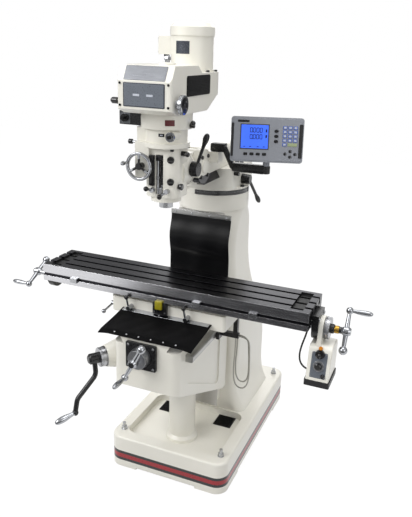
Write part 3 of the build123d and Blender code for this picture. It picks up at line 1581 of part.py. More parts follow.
# Drive belt: a closed loop in the two grooves
with BuildPart() as drive_belt:
    for depth, loop_mode in ((belt_thickness, Mode.ADD), (0, Mode.SUBTRACT)):
        with BuildSketch(Plane.XY.offset(belt_level - belt_half_width)):
            for centre_y, radius in ((motor_y, motor_pulley_radius), (spindle_y, spindle_pulley_radius)):
                with Locations((0, centre_y)):
                    Circle(radius - groove_depth + part_gap + depth)
            make_hull()
        extrude(amount=2 * belt_half_width, mode=loop_mode)
drive_belt.part.label = "drive_belt"
export_step(drive_belt.part, "parts/drive_belt.step")

# Motor with its terminal box
with BuildPart() as motor:
    turn((0, motor_y, motor_bottom), (0, 0, 1),
         [(0, fan_radius), (motor_foot_height, fan_radius), (motor_foot_height, motor_radius),
          (motor_height, motor_radius)])
    block((-motor_radius - terminal_width, motor_y - terminal_length / 2, motor_bottom + terminal_rise),
          (terminal_lap - motor_radius, motor_y + terminal_length / 2,
           motor_bottom + terminal_rise + terminal_height))
    rod((0, motor_y, motor_bottom), (0, motor_y, motor_bottom + motor_socket), motor_shaft_radius + run_gap,
        Mode.SUBTRACT)
motor.part.label = "motor"
export_step(motor.part, "parts/motor.step")

# Fan cover on top of the motor
with BuildPart() as fan_cover:
    cover_bottom = motor_bottom + motor_height
    turn((0, motor_y, cover_bottom), (0, 0, 1),
         [(0, fan_radius), (fan_height - fan_dome, fan_radius), (fan_height, fan_radius - fan_dome)])
    turn((0, motor_y, cover_bottom), (0, 0, 1),
         [(fan_wall, fan_radius - fan_wall), (fan_height - fan_dome, fan_radius - fan_wall),
          (fan_height - fan_wall, fan_radius - fan_dome - room)],
         Mode.SUBTRACT)
    rod((0, motor_y, cover_bottom), (0, motor_y, cover_bottom + fan_wall), motor_radius - fan_mouth,
        Mode.SUBTRACT)
fan_cover.part.label = "fan_cover"
export_step(fan_cover.part, "parts/fan_cover.step")

# Drum switch on the left of the gear housing, with its lever
switch_top = gear_top - switch_drop
switch_front = spindle_y - switch_length / 2 - switch_advance
with BuildPart() as drum_switch:
    block((-neck_radius - switch_width, switch_front, switch_top - switch_height),
          (switch_lap - neck_radius, switch_front + switch_length, switch_top))
    fillet(drum_switch.faces().sort_by(Axis.X)[0].edges(), radius=switch_edge)
    rod((0, spindle_y, switch_top - switch_height), (0, spindle_y, switch_top), neck_radius + run_gap,
        Mode.SUBTRACT)
drum_switch.part.label = "drum_switch"
export_step(drum_switch.part, "parts/drum_switch.step")

with BuildPart() as switch_lever:
    switch_x = -neck_radius - switch_knob_place
    switch_z = switch_top - switch_height / 2
    turn((switch_x, switch_front - turn_gap, switch_z), (0, -1, 0),
         [(0, switch_knob_radius), (switch_knob_height, switch_knob_radius - join),
          (switch_knob_height, switch_key_radius), (switch_key_length, switch_key_radius)])
switch_lever.part.label = "switch_lever"
export_step(switch_lever.part, "parts/switch_lever.step")

# Fine feed handwheel on the apron
with BuildPart() as feed_wheel:
    wheel_z = pivot_z + wheel_rise
    wheel_y = apron_front - wheel_stand
    rod((wheel_x, wheel_y + wheel_rim, wheel_z), (wheel_x, wheel_y - wheel_rim, wheel_z), wheel_radius)
    rod((wheel_x, wheel_y + wheel_rim, wheel_z), (wheel_x, wheel_y - wheel_rim, wheel_z),
        wheel_radius - 2 * wheel_rim, Mode.SUBTRACT)
    fillet(feed_wheel.edges(), radius=wheel_round * wheel_rim)
    turn((wheel_x, 0, wheel_z), (0, -1, 0),
         [(-apron_front + turn_gap, wheel_hub_root), (-wheel_y, wheel_hub_radius),
          (-wheel_y + wheel_hub_nose, wheel_hub_face)])
    rim_middle = wheel_radius - wheel_rim
    for spoke in range(spoke_count):
        angle = radians(90 + spoke * 360 / spoke_count)
        rod((wheel_x, wheel_y, wheel_z),
            (wheel_x + cos(angle) * rim_middle, wheel_y, wheel_z + sin(angle) * rim_middle), spoke_radius)
    grip_x = wheel_x - cos(radians(wheel_grip_angle)) * rim_middle
    grip_z = wheel_z + sin(radians(wheel_grip_angle)) * rim_middle
    rod((grip_x, wheel_y, grip_z), (grip_x, wheel_y - 2 * wheel_rim, grip_z), wheel_rim - room)
    hand_grip((grip_x, wheel_y - 3 * wheel_rim / 2, grip_z), (0, -1, 0), wheel_grip_length,
              wheel_grip_radius)
feed_wheel.part.label = "feed_wheel"
export_step(feed_wheel.part, "parts/feed_wheel.step")

# Small controls on the head
front_control_z = pivot_z - front_control_drop
with BuildPart() as trip_lever:
    ball_lever((trip_x, head_front - turn_gap, front_control_z), (0, -1, 0), trip_hub,
               (trip_x - trip_lean, head_front - trip_stand, front_control_z + trip_rise))
trip_lever.part.label = "trip_lever"
export_step(trip_lever.part, "parts/trip_lever.step")

with BuildPart() as quill_lock:
    ball_lever((quill_lock_x, head_front - turn_gap, front_control_z), (0, -1, 0), quill_lock_hub,
               (quill_lock_x - quill_lock_lean, head_front - quill_lock_stand,
                front_control_z - quill_lock_drop))
quill_lock.part.label = "quill_lock"
export_step(quill_lock.part, "parts/quill_lock.step")

with BuildPart() as engage_lever:
    engage_y = spindle_y - engage_advance
    engage_z = head_top - engage_drop
    ball_lever((head_half + turn_gap, engage_y, engage_z), (1, 0, 0), engage_hub,
               (head_half + engage_stand, engage_y - engage_arm, engage_z + engage_rise))
engage_lever.part.label = "engage_lever"
export_step(engage_lever.part, "parts/engage_lever.step")

with BuildPart() as feed_select:
    turn((-apron_left - turn_gap, spindle_y, head_top - select_drop), (-1, 0, 0),
         [(0, small_hub_radius), (select_hub, small_hub_radius - room), (select_hub, small_arm_radius),
          (select_length, small_arm_radius), (select_length, small_ball_radius),
          (select_length + select_knob, small_ball_radius),
          (select_length + select_knob + select_crown, small_arm_radius)])
feed_select.part.label = "feed_select"
export_step(feed_select.part, "parts/feed_select.step")

with BuildPart() as range_lever:
    range_z = ring_top + range_rise
    ball_lever((neck_radius + turn_gap, spindle_y, range_z), (1, 0, 0), range_hub,
               (neck_radius + range_stand, spindle_y - range_arm, range_z + range_lift))
range_lever.part.label = "range_lever"
export_step(range_lever.part, "parts/range_lever.step")

with BuildPart() as brake_lever:
    brake_flare_end = brake_neck + brake_flare
    brake_end = brake_flare_end + brake_knob
    turn((-belt_half - turn_gap, belt_front + brake_setback, speed_wheel_z), (-1, 0, 0),
         [(0, small_hub_radius), (brake_neck, small_hub_radius - room),
          (brake_flare_end, brake_knob_radius),
          (brake_end, brake_knob_radius), (brake_end + brake_crown, small_hub_radius - room)])
brake_lever.part.label = "brake_lever"
export_step(brake_lever.part, "parts/brake_lever.step")

with BuildPart() as rate_dial:
    turn((rate_x, rate_face, rate_z), (0, -1, 0),
         [(-rate_pin_length, rate_pin_radius), (turn_gap, rate_pin_radius), (turn_gap, rate_dial_radius),
          (rate_dial_height, rate_dial_radius - join), (rate_dial_height, rate_knob_radius),
          (rate_knob_length, rate_knob_radius - join)])
rate_dial.part.label = "rate_dial"
export_step(rate_dial.part, "parts/rate_dial.step")

with BuildPart() as speed_wheel:
    rim_start = belt_half + speed_wheel_stand
    rim_end = rim_start + speed_wheel_width
    turn((0, speed_wheel_y, speed_wheel_z), (1, 0, 0),
         [(belt_half + turn_gap, speed_wheel_hub), (rim_start - speed_wheel_step, speed_wheel_neck),
          (rim_start, speed_wheel_radius), (rim_end, speed_wheel_radius),
          (rim_end + speed_wheel_step, speed_wheel_hub),
          (rim_end + 2 * speed_wheel_step, speed_wheel_nose)])
speed_wheel.part.label = "speed_wheel"
export_step(speed_wheel.part, "parts/speed_wheel.step")

# Display arm: a bent tube that swings on the ram's boss
arm_level = boss_top + turn_gap + arm_rise
swivel_x = boss_x + swivel_reach
swivel_y = boss_y - swivel_advance
swivel_z = arm_level - swivel_drop
with BuildPart() as display_arm:
    turn((boss_x, boss_y, 0), (0, 0, 1),
         [(boss_top - arm_pin_length, arm_pin_radius), (boss_top + turn_gap, arm_pin_radius),
          (boss_top + turn_gap, arm_hub_radius), (arm_level + arm_hub_top, arm_hub_radius)])
    arm_points = [(boss_x, boss_y, arm_level), (boss_x + arm_first_length, boss_y - arm_slant, arm_level),
                  (swivel_x - arm_last_length, swivel_y + arm_slant, swivel_z),
                  (swivel_x, swivel_y, swivel_z)]
    for start, end in zip(arm_points, arm_points[1:]):
        rod(start, end, arm_radius)
    for elbow in arm_points[1:-1]:
        ball(elbow, arm_radius)
    rod((swivel_x, swivel_y, swivel_z - arm_radius), (swivel_x, swivel_y, swivel_z + arm_radius),
        arm_radius + swivel_lip)
display_arm.part.label = "display_arm"
export_step(display_arm.part, "parts/display_arm.step")

# Display: flat box on a stalk, turned and tilted towards the operator
facing = Vector(sin(radians(display_yaw)), -cos(radians(display_yaw)), 0)
display_face = facing * cos(radians(display_tilt)) + Vector(0, 0, sin(radians(display_tilt)))
display_right = Vector(cos(radians(display_yaw)), sin(radians(display_yaw)), 0)
display_middle = Vector(swivel_x - display_shift, swivel_y + display_setback, swivel_z + display_rise)
with BuildPart() as display:
    with BuildSketch(Plane(origin=display_middle, x_dir=display_right, z_dir=display_face)):
        RectangleRounded(display_width, display_height, display_corner)
    extrude(amount=display_depth / 2, both=True)
    rod((swivel_x, swivel_y, swivel_z + arm_radius + turn_gap),
        (swivel_x, swivel_y, display_middle.Z - display_height / 2 + display_stalk_lap),
        arm_radius + stalk_lip)
display.part.label = "display"
export_step(display.part, "parts/display.step")
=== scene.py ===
import math

import bmesh
import bpy
from mathutils import Matrix, Vector


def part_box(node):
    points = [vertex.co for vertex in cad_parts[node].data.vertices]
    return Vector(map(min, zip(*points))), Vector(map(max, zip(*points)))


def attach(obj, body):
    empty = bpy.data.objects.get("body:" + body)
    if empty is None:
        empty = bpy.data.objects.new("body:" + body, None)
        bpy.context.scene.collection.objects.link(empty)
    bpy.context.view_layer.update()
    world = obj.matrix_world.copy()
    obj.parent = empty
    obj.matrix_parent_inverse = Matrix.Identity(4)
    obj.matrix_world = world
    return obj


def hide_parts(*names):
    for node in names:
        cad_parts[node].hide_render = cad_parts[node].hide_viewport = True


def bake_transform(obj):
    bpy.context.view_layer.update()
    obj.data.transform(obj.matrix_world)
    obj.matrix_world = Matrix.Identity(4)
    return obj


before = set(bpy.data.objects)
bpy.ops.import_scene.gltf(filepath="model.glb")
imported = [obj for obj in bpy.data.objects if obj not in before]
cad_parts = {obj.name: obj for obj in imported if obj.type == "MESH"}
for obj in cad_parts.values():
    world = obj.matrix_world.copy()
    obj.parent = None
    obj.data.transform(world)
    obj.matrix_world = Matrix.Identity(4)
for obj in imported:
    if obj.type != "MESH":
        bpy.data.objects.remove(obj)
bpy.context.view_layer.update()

bl_info = {
    "name": "Turret milling machine",
    "version": (1, 0, 0),
    "blender": (4, 5, 0),
    "location": "View3D > Sidebar > Mill",
    "description": "Dresses a knee mill: finishes, leads, rubber covers, dials, plates and the display",
    "category": "Object",
}

# Places and sizes in this file are in millimetres, in the same frame as the solids
MM = 0.001
# Directions, as seen by someone who stands in front of the machine
LEFT, RIGHT = (-1, 0, 0), (1, 0, 0)
FRONT, BACK = (0, -1, 0), (0, 1, 0)
DOWN, UP = (0, 0, -1), (0, 0, 1)
X, Y, Z = range(3)
SIDES = (-1, 1)
FULL_TURN = 360.0
# Upright middle lines, as (x, y)
SPINDLE_LINE = (0, -504)
MOTOR_LINE = (0, -275)
TURRET_LINE = (0, 20)
# The leadscrew lies along x, and so does the line about which the head nods
LEAD_Y, LEAD_Z = -393.5, 900
NOD_Y, NOD_Z = -325, 1486.3


def linear(code):
    """Linear colour with alpha from an sRGB hex value."""
    parts = [int(code[i:i + 2], 16) / 255 for i in (0, 2, 4)]
    return (*[c / 12.92 if c <= 0.04045 else ((c + 0.055) / 1.055) ** 2.4 for c in parts], 1.0)


def put(tree, kind, values=None, give=None, **settings):
    """Adds a node with its settings, fills or links its inputs by name or number, and returns one output."""
    node = tree.nodes.new(kind)
    for key, value in settings.items():
        setattr(node, key, value)
    for key, value in (values or {}).items():
        if isinstance(key, int):
            socket = node.inputs[key]
        else:
            socket = next(s for s in node.inputs if key in (s.identifier, s.name) and s.enabled)
        if isinstance(value, bpy.types.NodeSocket):
            tree.links.new(value, socket)
        else:
            socket.default_value = value
    if not node.outputs:
        return node
    return next(s for s in node.outputs if s.enabled and give in (None, s.identifier, s.name))


def add(name, data):
    """New object in the scene."""
    made = bpy.data.objects.new(name, data)
    bpy.context.scene.collection.objects.link(made)
    return made


def real_mesh(piece):
    """Plain mesh of an object, as its modifiers and curve settings leave it."""
    graph = bpy.context.evaluated_depsgraph_get()
    return bpy.data.meshes.new_from_object(piece.evaluated_get(graph))


class MillColours(bpy.types.PropertyGroup):
    """Colours of the machine's main finishes"""

    cream: bpy.props.FloatVectorProperty(
        name="Castings", description="Enamel on the castings", subtype="COLOR", size=4,
        min=0, max=1, default=linear("F1EFE6"))
    iron: bpy.props.FloatVectorProperty(
        name="Table iron", description="Ground and oiled table", subtype="COLOR", size=4,
        min=0, max=1, default=linear("3C3C40"))
    red: bpy.props.FloatVectorProperty(
        name="Base line", description="Red line round the base", subtype="COLOR", size=4,
        min=0, max=1, default=linear("A81622"))
    rubber: bpy.props.FloatVectorProperty(
        name="Covers", description="Rubber of the way covers", subtype="COLOR", size=4,
        min=0, max=1, default=linear("08080A"))
    case: bpy.props.FloatVectorProperty(
        name="Display case", description="Moulded case of the display", subtype="COLOR", size=4,
        min=0, max=1, default=linear("9699A0"))
    screen: bpy.props.FloatVectorProperty(
        name="Screen", description="Lit screen of the display", subtype="COLOR", size=4,
        min=0, max=1, default=linear("3F6CFA"))


class MillSizes(bpy.types.PropertyGroup):
    """Sizes of what is added to the solids"""

    line_low: bpy.props.FloatProperty(
        name="Line height", description="Lower edge of the lines round the base", unit="LENGTH",
        default=36 * MM)
    line_width: bpy.props.FloatProperty(
        name="Line width", description="Width of the red line", unit="LENGTH", default=22 * MM)
    rim_width: bpy.props.FloatProperty(
        name="Rim width", description="Width of each black line beside it", unit="LENGTH", default=15 * MM)
    sheet: bpy.props.FloatProperty(
        name="Cover thickness", description="Thickness of the rubber covers", unit="LENGTH", default=3 * MM)
    armour_pitch: bpy.props.FloatProperty(
        name="Armour pitch", description="Distance between two rings of a lead's armour", unit="LENGTH",
        default=3 * MM)
    dial_marks: bpy.props.IntProperty(
        name="Dial marks", description="Marks round a feed dial", default=100)
    screen_wide: bpy.props.FloatProperty(
        name="Screen width", description="Width of the lit screen", unit="LENGTH", default=108 * MM)
    screen_high: bpy.props.FloatProperty(
        name="Screen height", description="Height of the lit screen", unit="LENGTH", default=92 * MM)


def look(colour, second, patch, rough, spread, grain, depth, **more):
    """One finish: two colours, their patches' size, roughness and its spread, grain size and depth."""
    first = linear(colour) if isinstance(colour, str) else tuple(colour)
    plain = {"metal": 0.0, "stretch": (1, 1, 1), "edge": None, "coat": 0.0, "shine": 0.5, "glow": 0.0}
    return {**plain, "colour": first, "second": linear(second), "patch": patch, "rough": rough,
            "spread": spread, "grain": grain, "depth": depth, **more}


def looks(colours):
    """What each finish is, by name."""
    return {
        # Gloss enamel sprayed on filled cast iron: warm white, smooth, faintly wavy in the light
        "cream_enamel": look(colours.cream, "EDEADF", patch=190, rough=0.30, spread=0.0, grain=30, depth=0.02,
                             coat=0.2),
        # Ground cast iron under oil: dark grey metal with fine marks along the table. On the ram's dovetail
        # its dark also stands in for painted shade under the ram
        "ground_iron": look(colours.iron, "343438", patch=120, rough=0.30, spread=0.06, grain=3, depth=0.006,
                            metal=1.0, stretch=(0.04, 1, 1)),
        # Surface-ground cast iron, clean: brighter, with the wheel's streaks along the side
        "bright_iron": look("DADADD", "CCCCD0", patch=160, rough=0.20, spread=0.05, grain=3, depth=0.004,
                            metal=1.0, stretch=(0.03, 1, 1)),
        # Turned steel: light grey metal with close tool marks
        "bright_steel": look("C3C4C6", "AEB0B3", patch=30, rough=0.26, spread=0.08, grain=1.6, depth=0.02,
                             metal=1.0),
        # Satin chrome on dials: pale metal with a soft sheen
        "satin_chrome": look("B8B9BC", "A8A9AC", patch=40, rough=0.33, spread=0.06, grain=1.2, depth=0.01,
                             metal=1.0),
        # Polished chrome plate on handles: mirror bright, a little cloudy from hands
        "polished_chrome": look("B0B2B6", "A2A4A8", patch=25, rough=0.10, spread=0.05, grain=9, depth=0.01,
                                metal=1.0),
        # Black enamel on levers and brackets: deep gloss, rubbed grey on its edges
        "black_enamel": look("121213", "1B1B1D", patch=45, rough=0.30, spread=0.10, grain=5, depth=0.05,
                             edge=linear("4A4A4C")),
        # Moulded phenolic knobs: black with a hard shine
        "phenolic": look("0D0D0E", "141416", patch=20, rough=0.16, spread=0.05, grain=4, depth=0.02,
                         coat=0.4),
        # Moulded ABS of the display's case: mid grey with a fine spark-eroded grain, drawn at 1.5 mm to show
        "grey_abs": look(colours.case, "8E9198", patch=70, rough=0.46, spread=0.06, grain=1.5, depth=0.04),
        # Fabric-backed rubber sheet: black, half dull, with a soft cloth texture drawn at 2.5 mm to show
        "rubber_sheet": look(colours.rubber, "0C0C0E", patch=60, rough=0.36, spread=0.06, grain=2.5,
                             depth=0.05, shine=0.3),
        # The same sheet with its cloth side out: dull black
        "cloth_sheet": look("060607", "0A0A0B", patch=60, rough=0.6, spread=0.06, grain=2.5, depth=0.05,
                            shine=0.06),
        # Moulded rubber of feet, grips and leads: dull black
        "soft_rubber": look("19191A", "232325", patch=30, rough=0.58, spread=0.08, grain=2, depth=0.05),
        # Interlocked galvanised steel hose round the scale leads: warm grey metal
        "steel_armour": look("B9B7B0", "A3A199", patch=12, rough=0.38, spread=0.10, grain=2, depth=0.03,
                             metal=1.0),
        # Clear anodised aluminium of scales and strips: satin, drawn along its length
        "anodised": look("BDBDBB", "AAAAA8", patch=60, rough=0.38, spread=0.08, grain=2, depth=0.02,
                         metal=1.0, stretch=(1, 0.05, 1)),
        # Brushed aluminium plates: mid grey metal with level streaks
        "brushed_plate": look("7C7E82", "66686C", patch=80, rough=0.36, spread=0.10, grain=2, depth=0.02,
                              metal=1.0, stretch=(0.05, 1, 1)),
        # Lacquered grey plate on the belt housing: bluish grey with a soft shine
        "grey_plate": look("7E848D", "727881", patch=60, rough=0.32, spread=0.06, grain=3, depth=0.01,
                           metal=0.4),
        # Etched and filled maroon plate: dark red with a soft shine
        "maroon_plate": look("5C2025", "6C2A2E", patch=15, rough=0.34, spread=0.06, grain=2, depth=0.01),
        # Dark anodised rating plate: slate blue, glossy
        "slate_plate": look("3A3E48", "6C7079", patch=38, rough=0.24, spread=0.05, grain=3, depth=0.01,
                            metal=0.5),
        # Red and black vinyl lines round the base: even, slightly glossy
        "red_vinyl": look(colours.red, "951420", patch=90, rough=0.30, spread=0.05, grain=6, depth=0.02),
        "black_vinyl": look("141415", "1C1C1E", patch=90, rough=0.30, spread=0.05, grain=6, depth=0.02),
        # Brass bush: yellow metal, lightly tarnished
        "brass": look("C7A14C", "A88237", patch=14, rough=0.24, spread=0.08, grain=2, depth=0.02, metal=1.0),
        # Moulded yellow and orange switch plastics: even colour, half glossy
        "yellow_abs": look("A89D1C", "978C18", patch=14, rough=0.40, spread=0.05, grain=1.5, depth=0.02),
        "orange_abs": look("DC8A22", "CC7C1A", patch=8, rough=0.30, spread=0.05, grain=1.5, depth=0.02),
        # Display glass over a lit panel: blue that gives a little light
        "lit_screen": look(colours.screen, "4D7BFF", patch=34, rough=0.16, spread=0.03, grain=6, depth=0.0,
                           glow=0.45),
        # Ink of the figures on the screen: dark blue
        "screen_ink": look("101B4E", "0C1540", patch=10, rough=0.30, spread=0.03, grain=3, depth=0.0),
        # Silicone keys: blue rims, pale caps, one greenish cap
        "blue_key": look("4C6CC4", "4463B8", patch=9, rough=0.44, spread=0.05, grain=1.5, depth=0.02),
        "pale_key": look("C9CED8", "BCC1CC", patch=9, rough=0.44, spread=0.05, grain=1.5, depth=0.02),
        "green_key": look("A8B48C", "9CA87F", patch=9, rough=0.44, spread=0.05, grain=1.5, depth=0.02),
        # Dark coated steel gauze, and painted shade inside the louvres and in the table's troughs: dull black
        "dark_gauze_and_painted_shade": look("070708", "0C0C0D", patch=20, rough=0.55, spread=0.08, grain=2, depth=0.05,
                           shine=0.25),
    }


# Fineness of the noises, and the part of the grain's range that changes the roughness
PATCH_DETAIL, GRAIN_DETAIL = 3.0, 2.0
GRAIN_LOW, GRAIN_HIGH = 0.3, 0.7


def layer(tree, place, given):
    """Colour, roughness and height of one finish, from noises at its own sizes."""
    patches = put(tree, "ShaderNodeTexNoise",
                  {"Vector": place, "Scale": 1 / (given["patch"] * MM), "Detail": PATCH_DETAIL}, "Fac")
    tint = put(tree, "ShaderNodeMix",
               {"Factor_Float": patches, "A_Color": given["colour"], "B_Color": given["second"]},
               "Result_Color", data_type="RGBA")
    along = put(tree, "ShaderNodeMapping", {"Vector": place, "Scale": given["stretch"]})
    grain = put(tree, "ShaderNodeTexNoise",
                {"Vector": along, "Scale": 1 / (given["grain"] * MM), "Detail": GRAIN_DETAIL}, "Fac")
    rough = given["rough"]
    if given["spread"]:
        rough = put(tree, "ShaderNodeMapRange",
                    {"Value": grain, "From Min": GRAIN_LOW, "From Max": GRAIN_HIGH,
                     "To Min": given["rough"] - given["spread"], "To Max": given["rough"] + given["spread"]})
    height = put(tree, "ShaderNodeMath", {0: grain, 1: given["depth"]}, operation="MULTIPLY")
    return tint, rough, height


def zone_mask(tree, place, kind, where, size):
    """1 inside a zone: in a box, near a point, in a band, or above or below a level on one axis."""
    if kind == "box":
        centred = put(tree, "ShaderNodeVectorMath", {0: place, 1: Vector(where) * MM}, operation="SUBTRACT")
        share = put(tree, "ShaderNodeVectorMath", {0: centred, 1: Vector(size) * MM}, operation="DIVIDE")
        apart = put(tree, "ShaderNodeVectorMath", {0: share}, operation="ABSOLUTE")
        over, deep, tall = [put(tree, "ShaderNodeSeparateXYZ", {"Vector": apart}, axis) for axis in "XYZ"]
        level = put(tree, "ShaderNodeMath", {0: over, 1: deep}, operation="MAXIMUM")
        widest = put(tree, "ShaderNodeMath", {0: level, 1: tall}, operation="MAXIMUM")
        return put(tree, "ShaderNodeMath", {0: widest, 1: 1.0}, operation="LESS_THAN")
    if kind == "near":
        far = put(tree, "ShaderNodeVectorMath", {0: place, 1: Vector(where) * MM}, "Value",
                  operation="DISTANCE")
        return put(tree, "ShaderNodeMath", {0: far, 1: size * MM}, operation="LESS_THAN")
    level = put(tree, "ShaderNodeSeparateXYZ", {"Vector": place}, "XYZ"[where])
    if kind == "band":
        low, high = size
        return put(tree, "ShaderNodeMath", {0: level, 1: (low + high) / 2 * MM, 2: (high - low) / 2 * MM},
                   operation="COMPARE")
    test = {"above": "GREATER_THAN", "below": "LESS_THAN"}[kind]
    return put(tree, "ShaderNodeMath", {0: level, 1: size * MM}, operation=test)


# Width of the softened edge that light catches, and how fully it is measured
SOFT_EDGE, EDGE_SAMPLES = 1.6, 4
# Wear starts where the softened edge turns this far from the face, and goes up to a share of the edge colour
WORN_START, WORN_FULL, WORN_MOST = 0.98, 0.80, 0.8
COAT_ROUGHNESS = 0.08
materials = {}


def finish(name, base=None, *zones):
    """Material of one finish, with other finishes in zones, each given as (finish, kind, place, size)."""
    if name in materials:
        return materials[name]
    table = looks(bpy.context.scene.mill_colours)
    main_look = table[base or name]
    made = bpy.data.materials.new(name)
    made.use_nodes = True
    tree = made.node_tree
    shader = tree.nodes["Principled BSDF"]
    place = put(tree, "ShaderNodeTexCoord", give="Object")
    tint, rough, height = layer(tree, place, main_look)
    metal = main_look["metal"]
    soft_normal = put(tree, "ShaderNodeBevel", {"Radius": SOFT_EDGE * MM}, samples=EDGE_SAMPLES)
    if main_look["edge"]:
        true_normal = put(tree, "ShaderNodeNewGeometry", give="True Normal")
        match = put(tree, "ShaderNodeVectorMath", {0: soft_normal, 1: true_normal}, "Value",
                    operation="DOT_PRODUCT")
        worn = put(tree, "ShaderNodeMapRange",
                   {"Value": match, "From Min": WORN_START, "From Max": WORN_FULL, "To Min": 0.0,
                    "To Max": WORN_MOST})
        tint = put(tree, "ShaderNodeMix",
                   {"Factor_Float": worn, "A_Color": tint, "B_Color": main_look["edge"]}, "Result_Color",
                   data_type="RGBA")
    for other, *zone in zones:
        mask = zone_mask(tree, place, *zone)
        zone_tint, zone_rough, zone_height = layer(tree, place, table[other])
        zone_metal = table[other]["metal"]
        tint = put(tree, "ShaderNodeMix", {"Factor_Float": mask, "A_Color": tint, "B_Color": zone_tint},
                   "Result_Color", data_type="RGBA")
        rough = put(tree, "ShaderNodeMix", {"Factor_Float": mask, "A_Float": rough, "B_Float": zone_rough})
        height = put(tree, "ShaderNodeMix", {"Factor_Float": mask, "A_Float": height, "B_Float": zone_height})
        if metal != zone_metal:
            metal = put(tree, "ShaderNodeMix",
                        {"Factor_Float": mask, "A_Float": metal, "B_Float": zone_metal})
    bump = put(tree, "ShaderNodeBump", {"Height": height, "Distance": MM, "Normal": soft_normal})
    tree.links.new(tint, shader.inputs["Base Color"])
    tree.links.new(bump, shader.inputs["Normal"])
    for socket, given in (("Roughness", rough), ("Metallic", metal)):
        if isinstance(given, bpy.types.NodeSocket):
            tree.links.new(given, shader.inputs[socket])
        else:
            shader.inputs[socket].default_value = given
    shader.inputs["Coat Weight"].default_value = main_look["coat"]
    shader.inputs["Coat Roughness"].default_value = COAT_ROUGHNESS
    shader.inputs["Specular IOR Level"].default_value = main_look["shine"]
    if main_look["glow"]:
        shader.inputs["Emission Color"].default_value = main_look["colour"]
        shader.inputs["Emission Strength"].default_value = main_look["glow"]
    materials[name] = made
    return made


def across(axis):
    """Two directions square to an axis, right-handed with it."""
    near_x = 0.8
    axis = Vector(axis).normalized()
    side = Vector(RIGHT) if abs(axis.x) < near_x else Vector(BACK)
    first = (side - axis * side.dot(axis)).normalized()
    return first, axis.cross(first)


def spaced(half, count):
    """Evenly spaced values from one end of a line to the other, about its middle."""
    return [half * (2 * i / (count - 1) - 1) for i in range(count)]


def facing(origin, right, out):
    """Placement whose X runs to the right of a face and whose Z comes out of it."""
    right = Vector(right).normalized()
    out = Vector(out).normalized()
    up = out.cross(right)
    turn = Matrix((right, up, out)).transposed().to_4x4()
    return Matrix.Translation(Vector(origin)) @ turn


# Edges that turn more than this, in degrees, stay sharp in the shading
SHARP_TURN = 32


def settle(mesh, name, look_name, body):
    """Sets a finished mesh down as a piece that rides on a body."""
    mesh.materials.clear()
    mesh.materials.append(finish(look_name))
    mesh.polygons.foreach_set("use_smooth", [True] * len(mesh.polygons))
    mesh.set_sharp_from_angle(angle=math.radians(SHARP_TURN))
    piece = add(name, mesh)
    if body:
        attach(piece, body)
    return piece


class Shape:
    """A mesh being made, in millimetres."""

    def __init__(self):
        self.mesh = bmesh.new()

    def skin(self, rings):
        """Closed skin over rings of points of equal number."""
        loops = [[self.mesh.verts.new(point) for point in ring] for ring in rings]
        for low, high in zip(loops, loops[1:]):
            for i in range(len(low)):
                j = (i + 1) % len(low)
                self.mesh.faces.new((low[i], low[j], high[j], high[i]))
        self.mesh.faces.new(loops[0][::-1])
        self.mesh.faces.new(loops[-1])
        return self

    def turned(self, origin, axis, outline, steps=36):
        """Turned form about a line, from (distance, radius) points. Few steps make it many-sided."""
        axis = Vector(axis).normalized()
        first, second = across(axis)
        turns = [2 * math.pi * step / steps for step in range(steps)]
        rings = []
        for along, radius in outline:
            centre = Vector(origin) + axis * along
            rings.append([centre + (first * math.cos(a) + second * math.sin(a)) * radius for a in turns])
        return self.skin(rings)

    def plate(self, place, width, height, thickness, corner=3.0, edge=0.6, steps=5):
        """Flat plate with round corners and a broken front edge, standing on a placed face."""
        least_radius = 0.05

        def outline(inset, level):
            radius = max(corner - inset, least_radius)
            points = []
            for quarter, (sx, sy) in enumerate(((1, 1), (-1, 1), (-1, -1), (1, -1))):
                centre = (sx * (width / 2 - inset - radius), sy * (height / 2 - inset - radius))
                for step in range(steps + 1):
                    angle = math.pi / 2 * (quarter + step / steps)
                    points.append(place @ Vector((centre[0] + radius * math.cos(angle),
                                                  centre[1] + radius * math.sin(angle), level)))
            return points

        return self.skin([outline(0, 0), outline(0, thickness - edge), outline(edge, thickness)])

    def block(self, low, high, edge=1.0):
        """Box with rounded edges between two corners."""
        low = Vector(low)
        high = Vector(high)
        middle = Matrix.Translation((low + high) / 2)
        spread = Matrix.Diagonal((*(high - low), 1))
        made = bmesh.ops.create_cube(self.mesh, size=1, matrix=middle @ spread)
        edges = dict.fromkeys(e for v in made["verts"] for e in v.link_edges)
        bmesh.ops.bevel(self.mesh, geom=list(edges), offset=edge, segments=2, profile=0.5, affect="EDGES")
        return self

    def wrap(self, line, radius, start, end, low, high, thickness, steps=24):
        """Plate bent round an upright line, between two angles in degrees and two heights."""
        turns = [math.radians(start + (end - start) * i / steps) for i in range(steps + 1)]
        base = Vector((*line, 0))
        foot = Vector((0, 0, low))
        top = Vector((0, 0, high))
        rings = []
        for a in turns:
            out = Vector((math.cos(a), math.sin(a), 0))
            inner = base + out * radius
            outer = base + out * (radius + thickness)
            rings.append([inner + top, outer + top, outer + foot, inner + foot])
        return self.skin(rings)

    def done(self, name, look_name, body, slot):
        """Ends the mesh as a piece."""
        bmesh.ops.scale(self.mesh, vec=(MM, MM, MM), verts=self.mesh.verts)
        bmesh.ops.recalc_face_normals(self.mesh, faces=self.mesh.faces)
        mesh = bpy.data.meshes.new(name)
        self.mesh.to_mesh(mesh)
        self.mesh.free()
        return settle(mesh, name, look_name, body)


trees = {}


def open_tree(name, inputs):
    """New geometry tree with named inputs. Returns it with its inputs' sockets by name."""
    tree = bpy.data.node_groups.new(name, "GeometryNodeTree")
    tree.interface.new_socket("Geometry", in_out="OUTPUT", socket_type="NodeSocketGeometry")
    for label, kind in inputs.items():
        tree.interface.new_socket(label, in_out="INPUT", socket_type="NodeSocket" + kind)
    source = tree.nodes.new("NodeGroupInput")
    trees[name] = tree
    return tree, {label: source.outputs[label] for label in inputs}


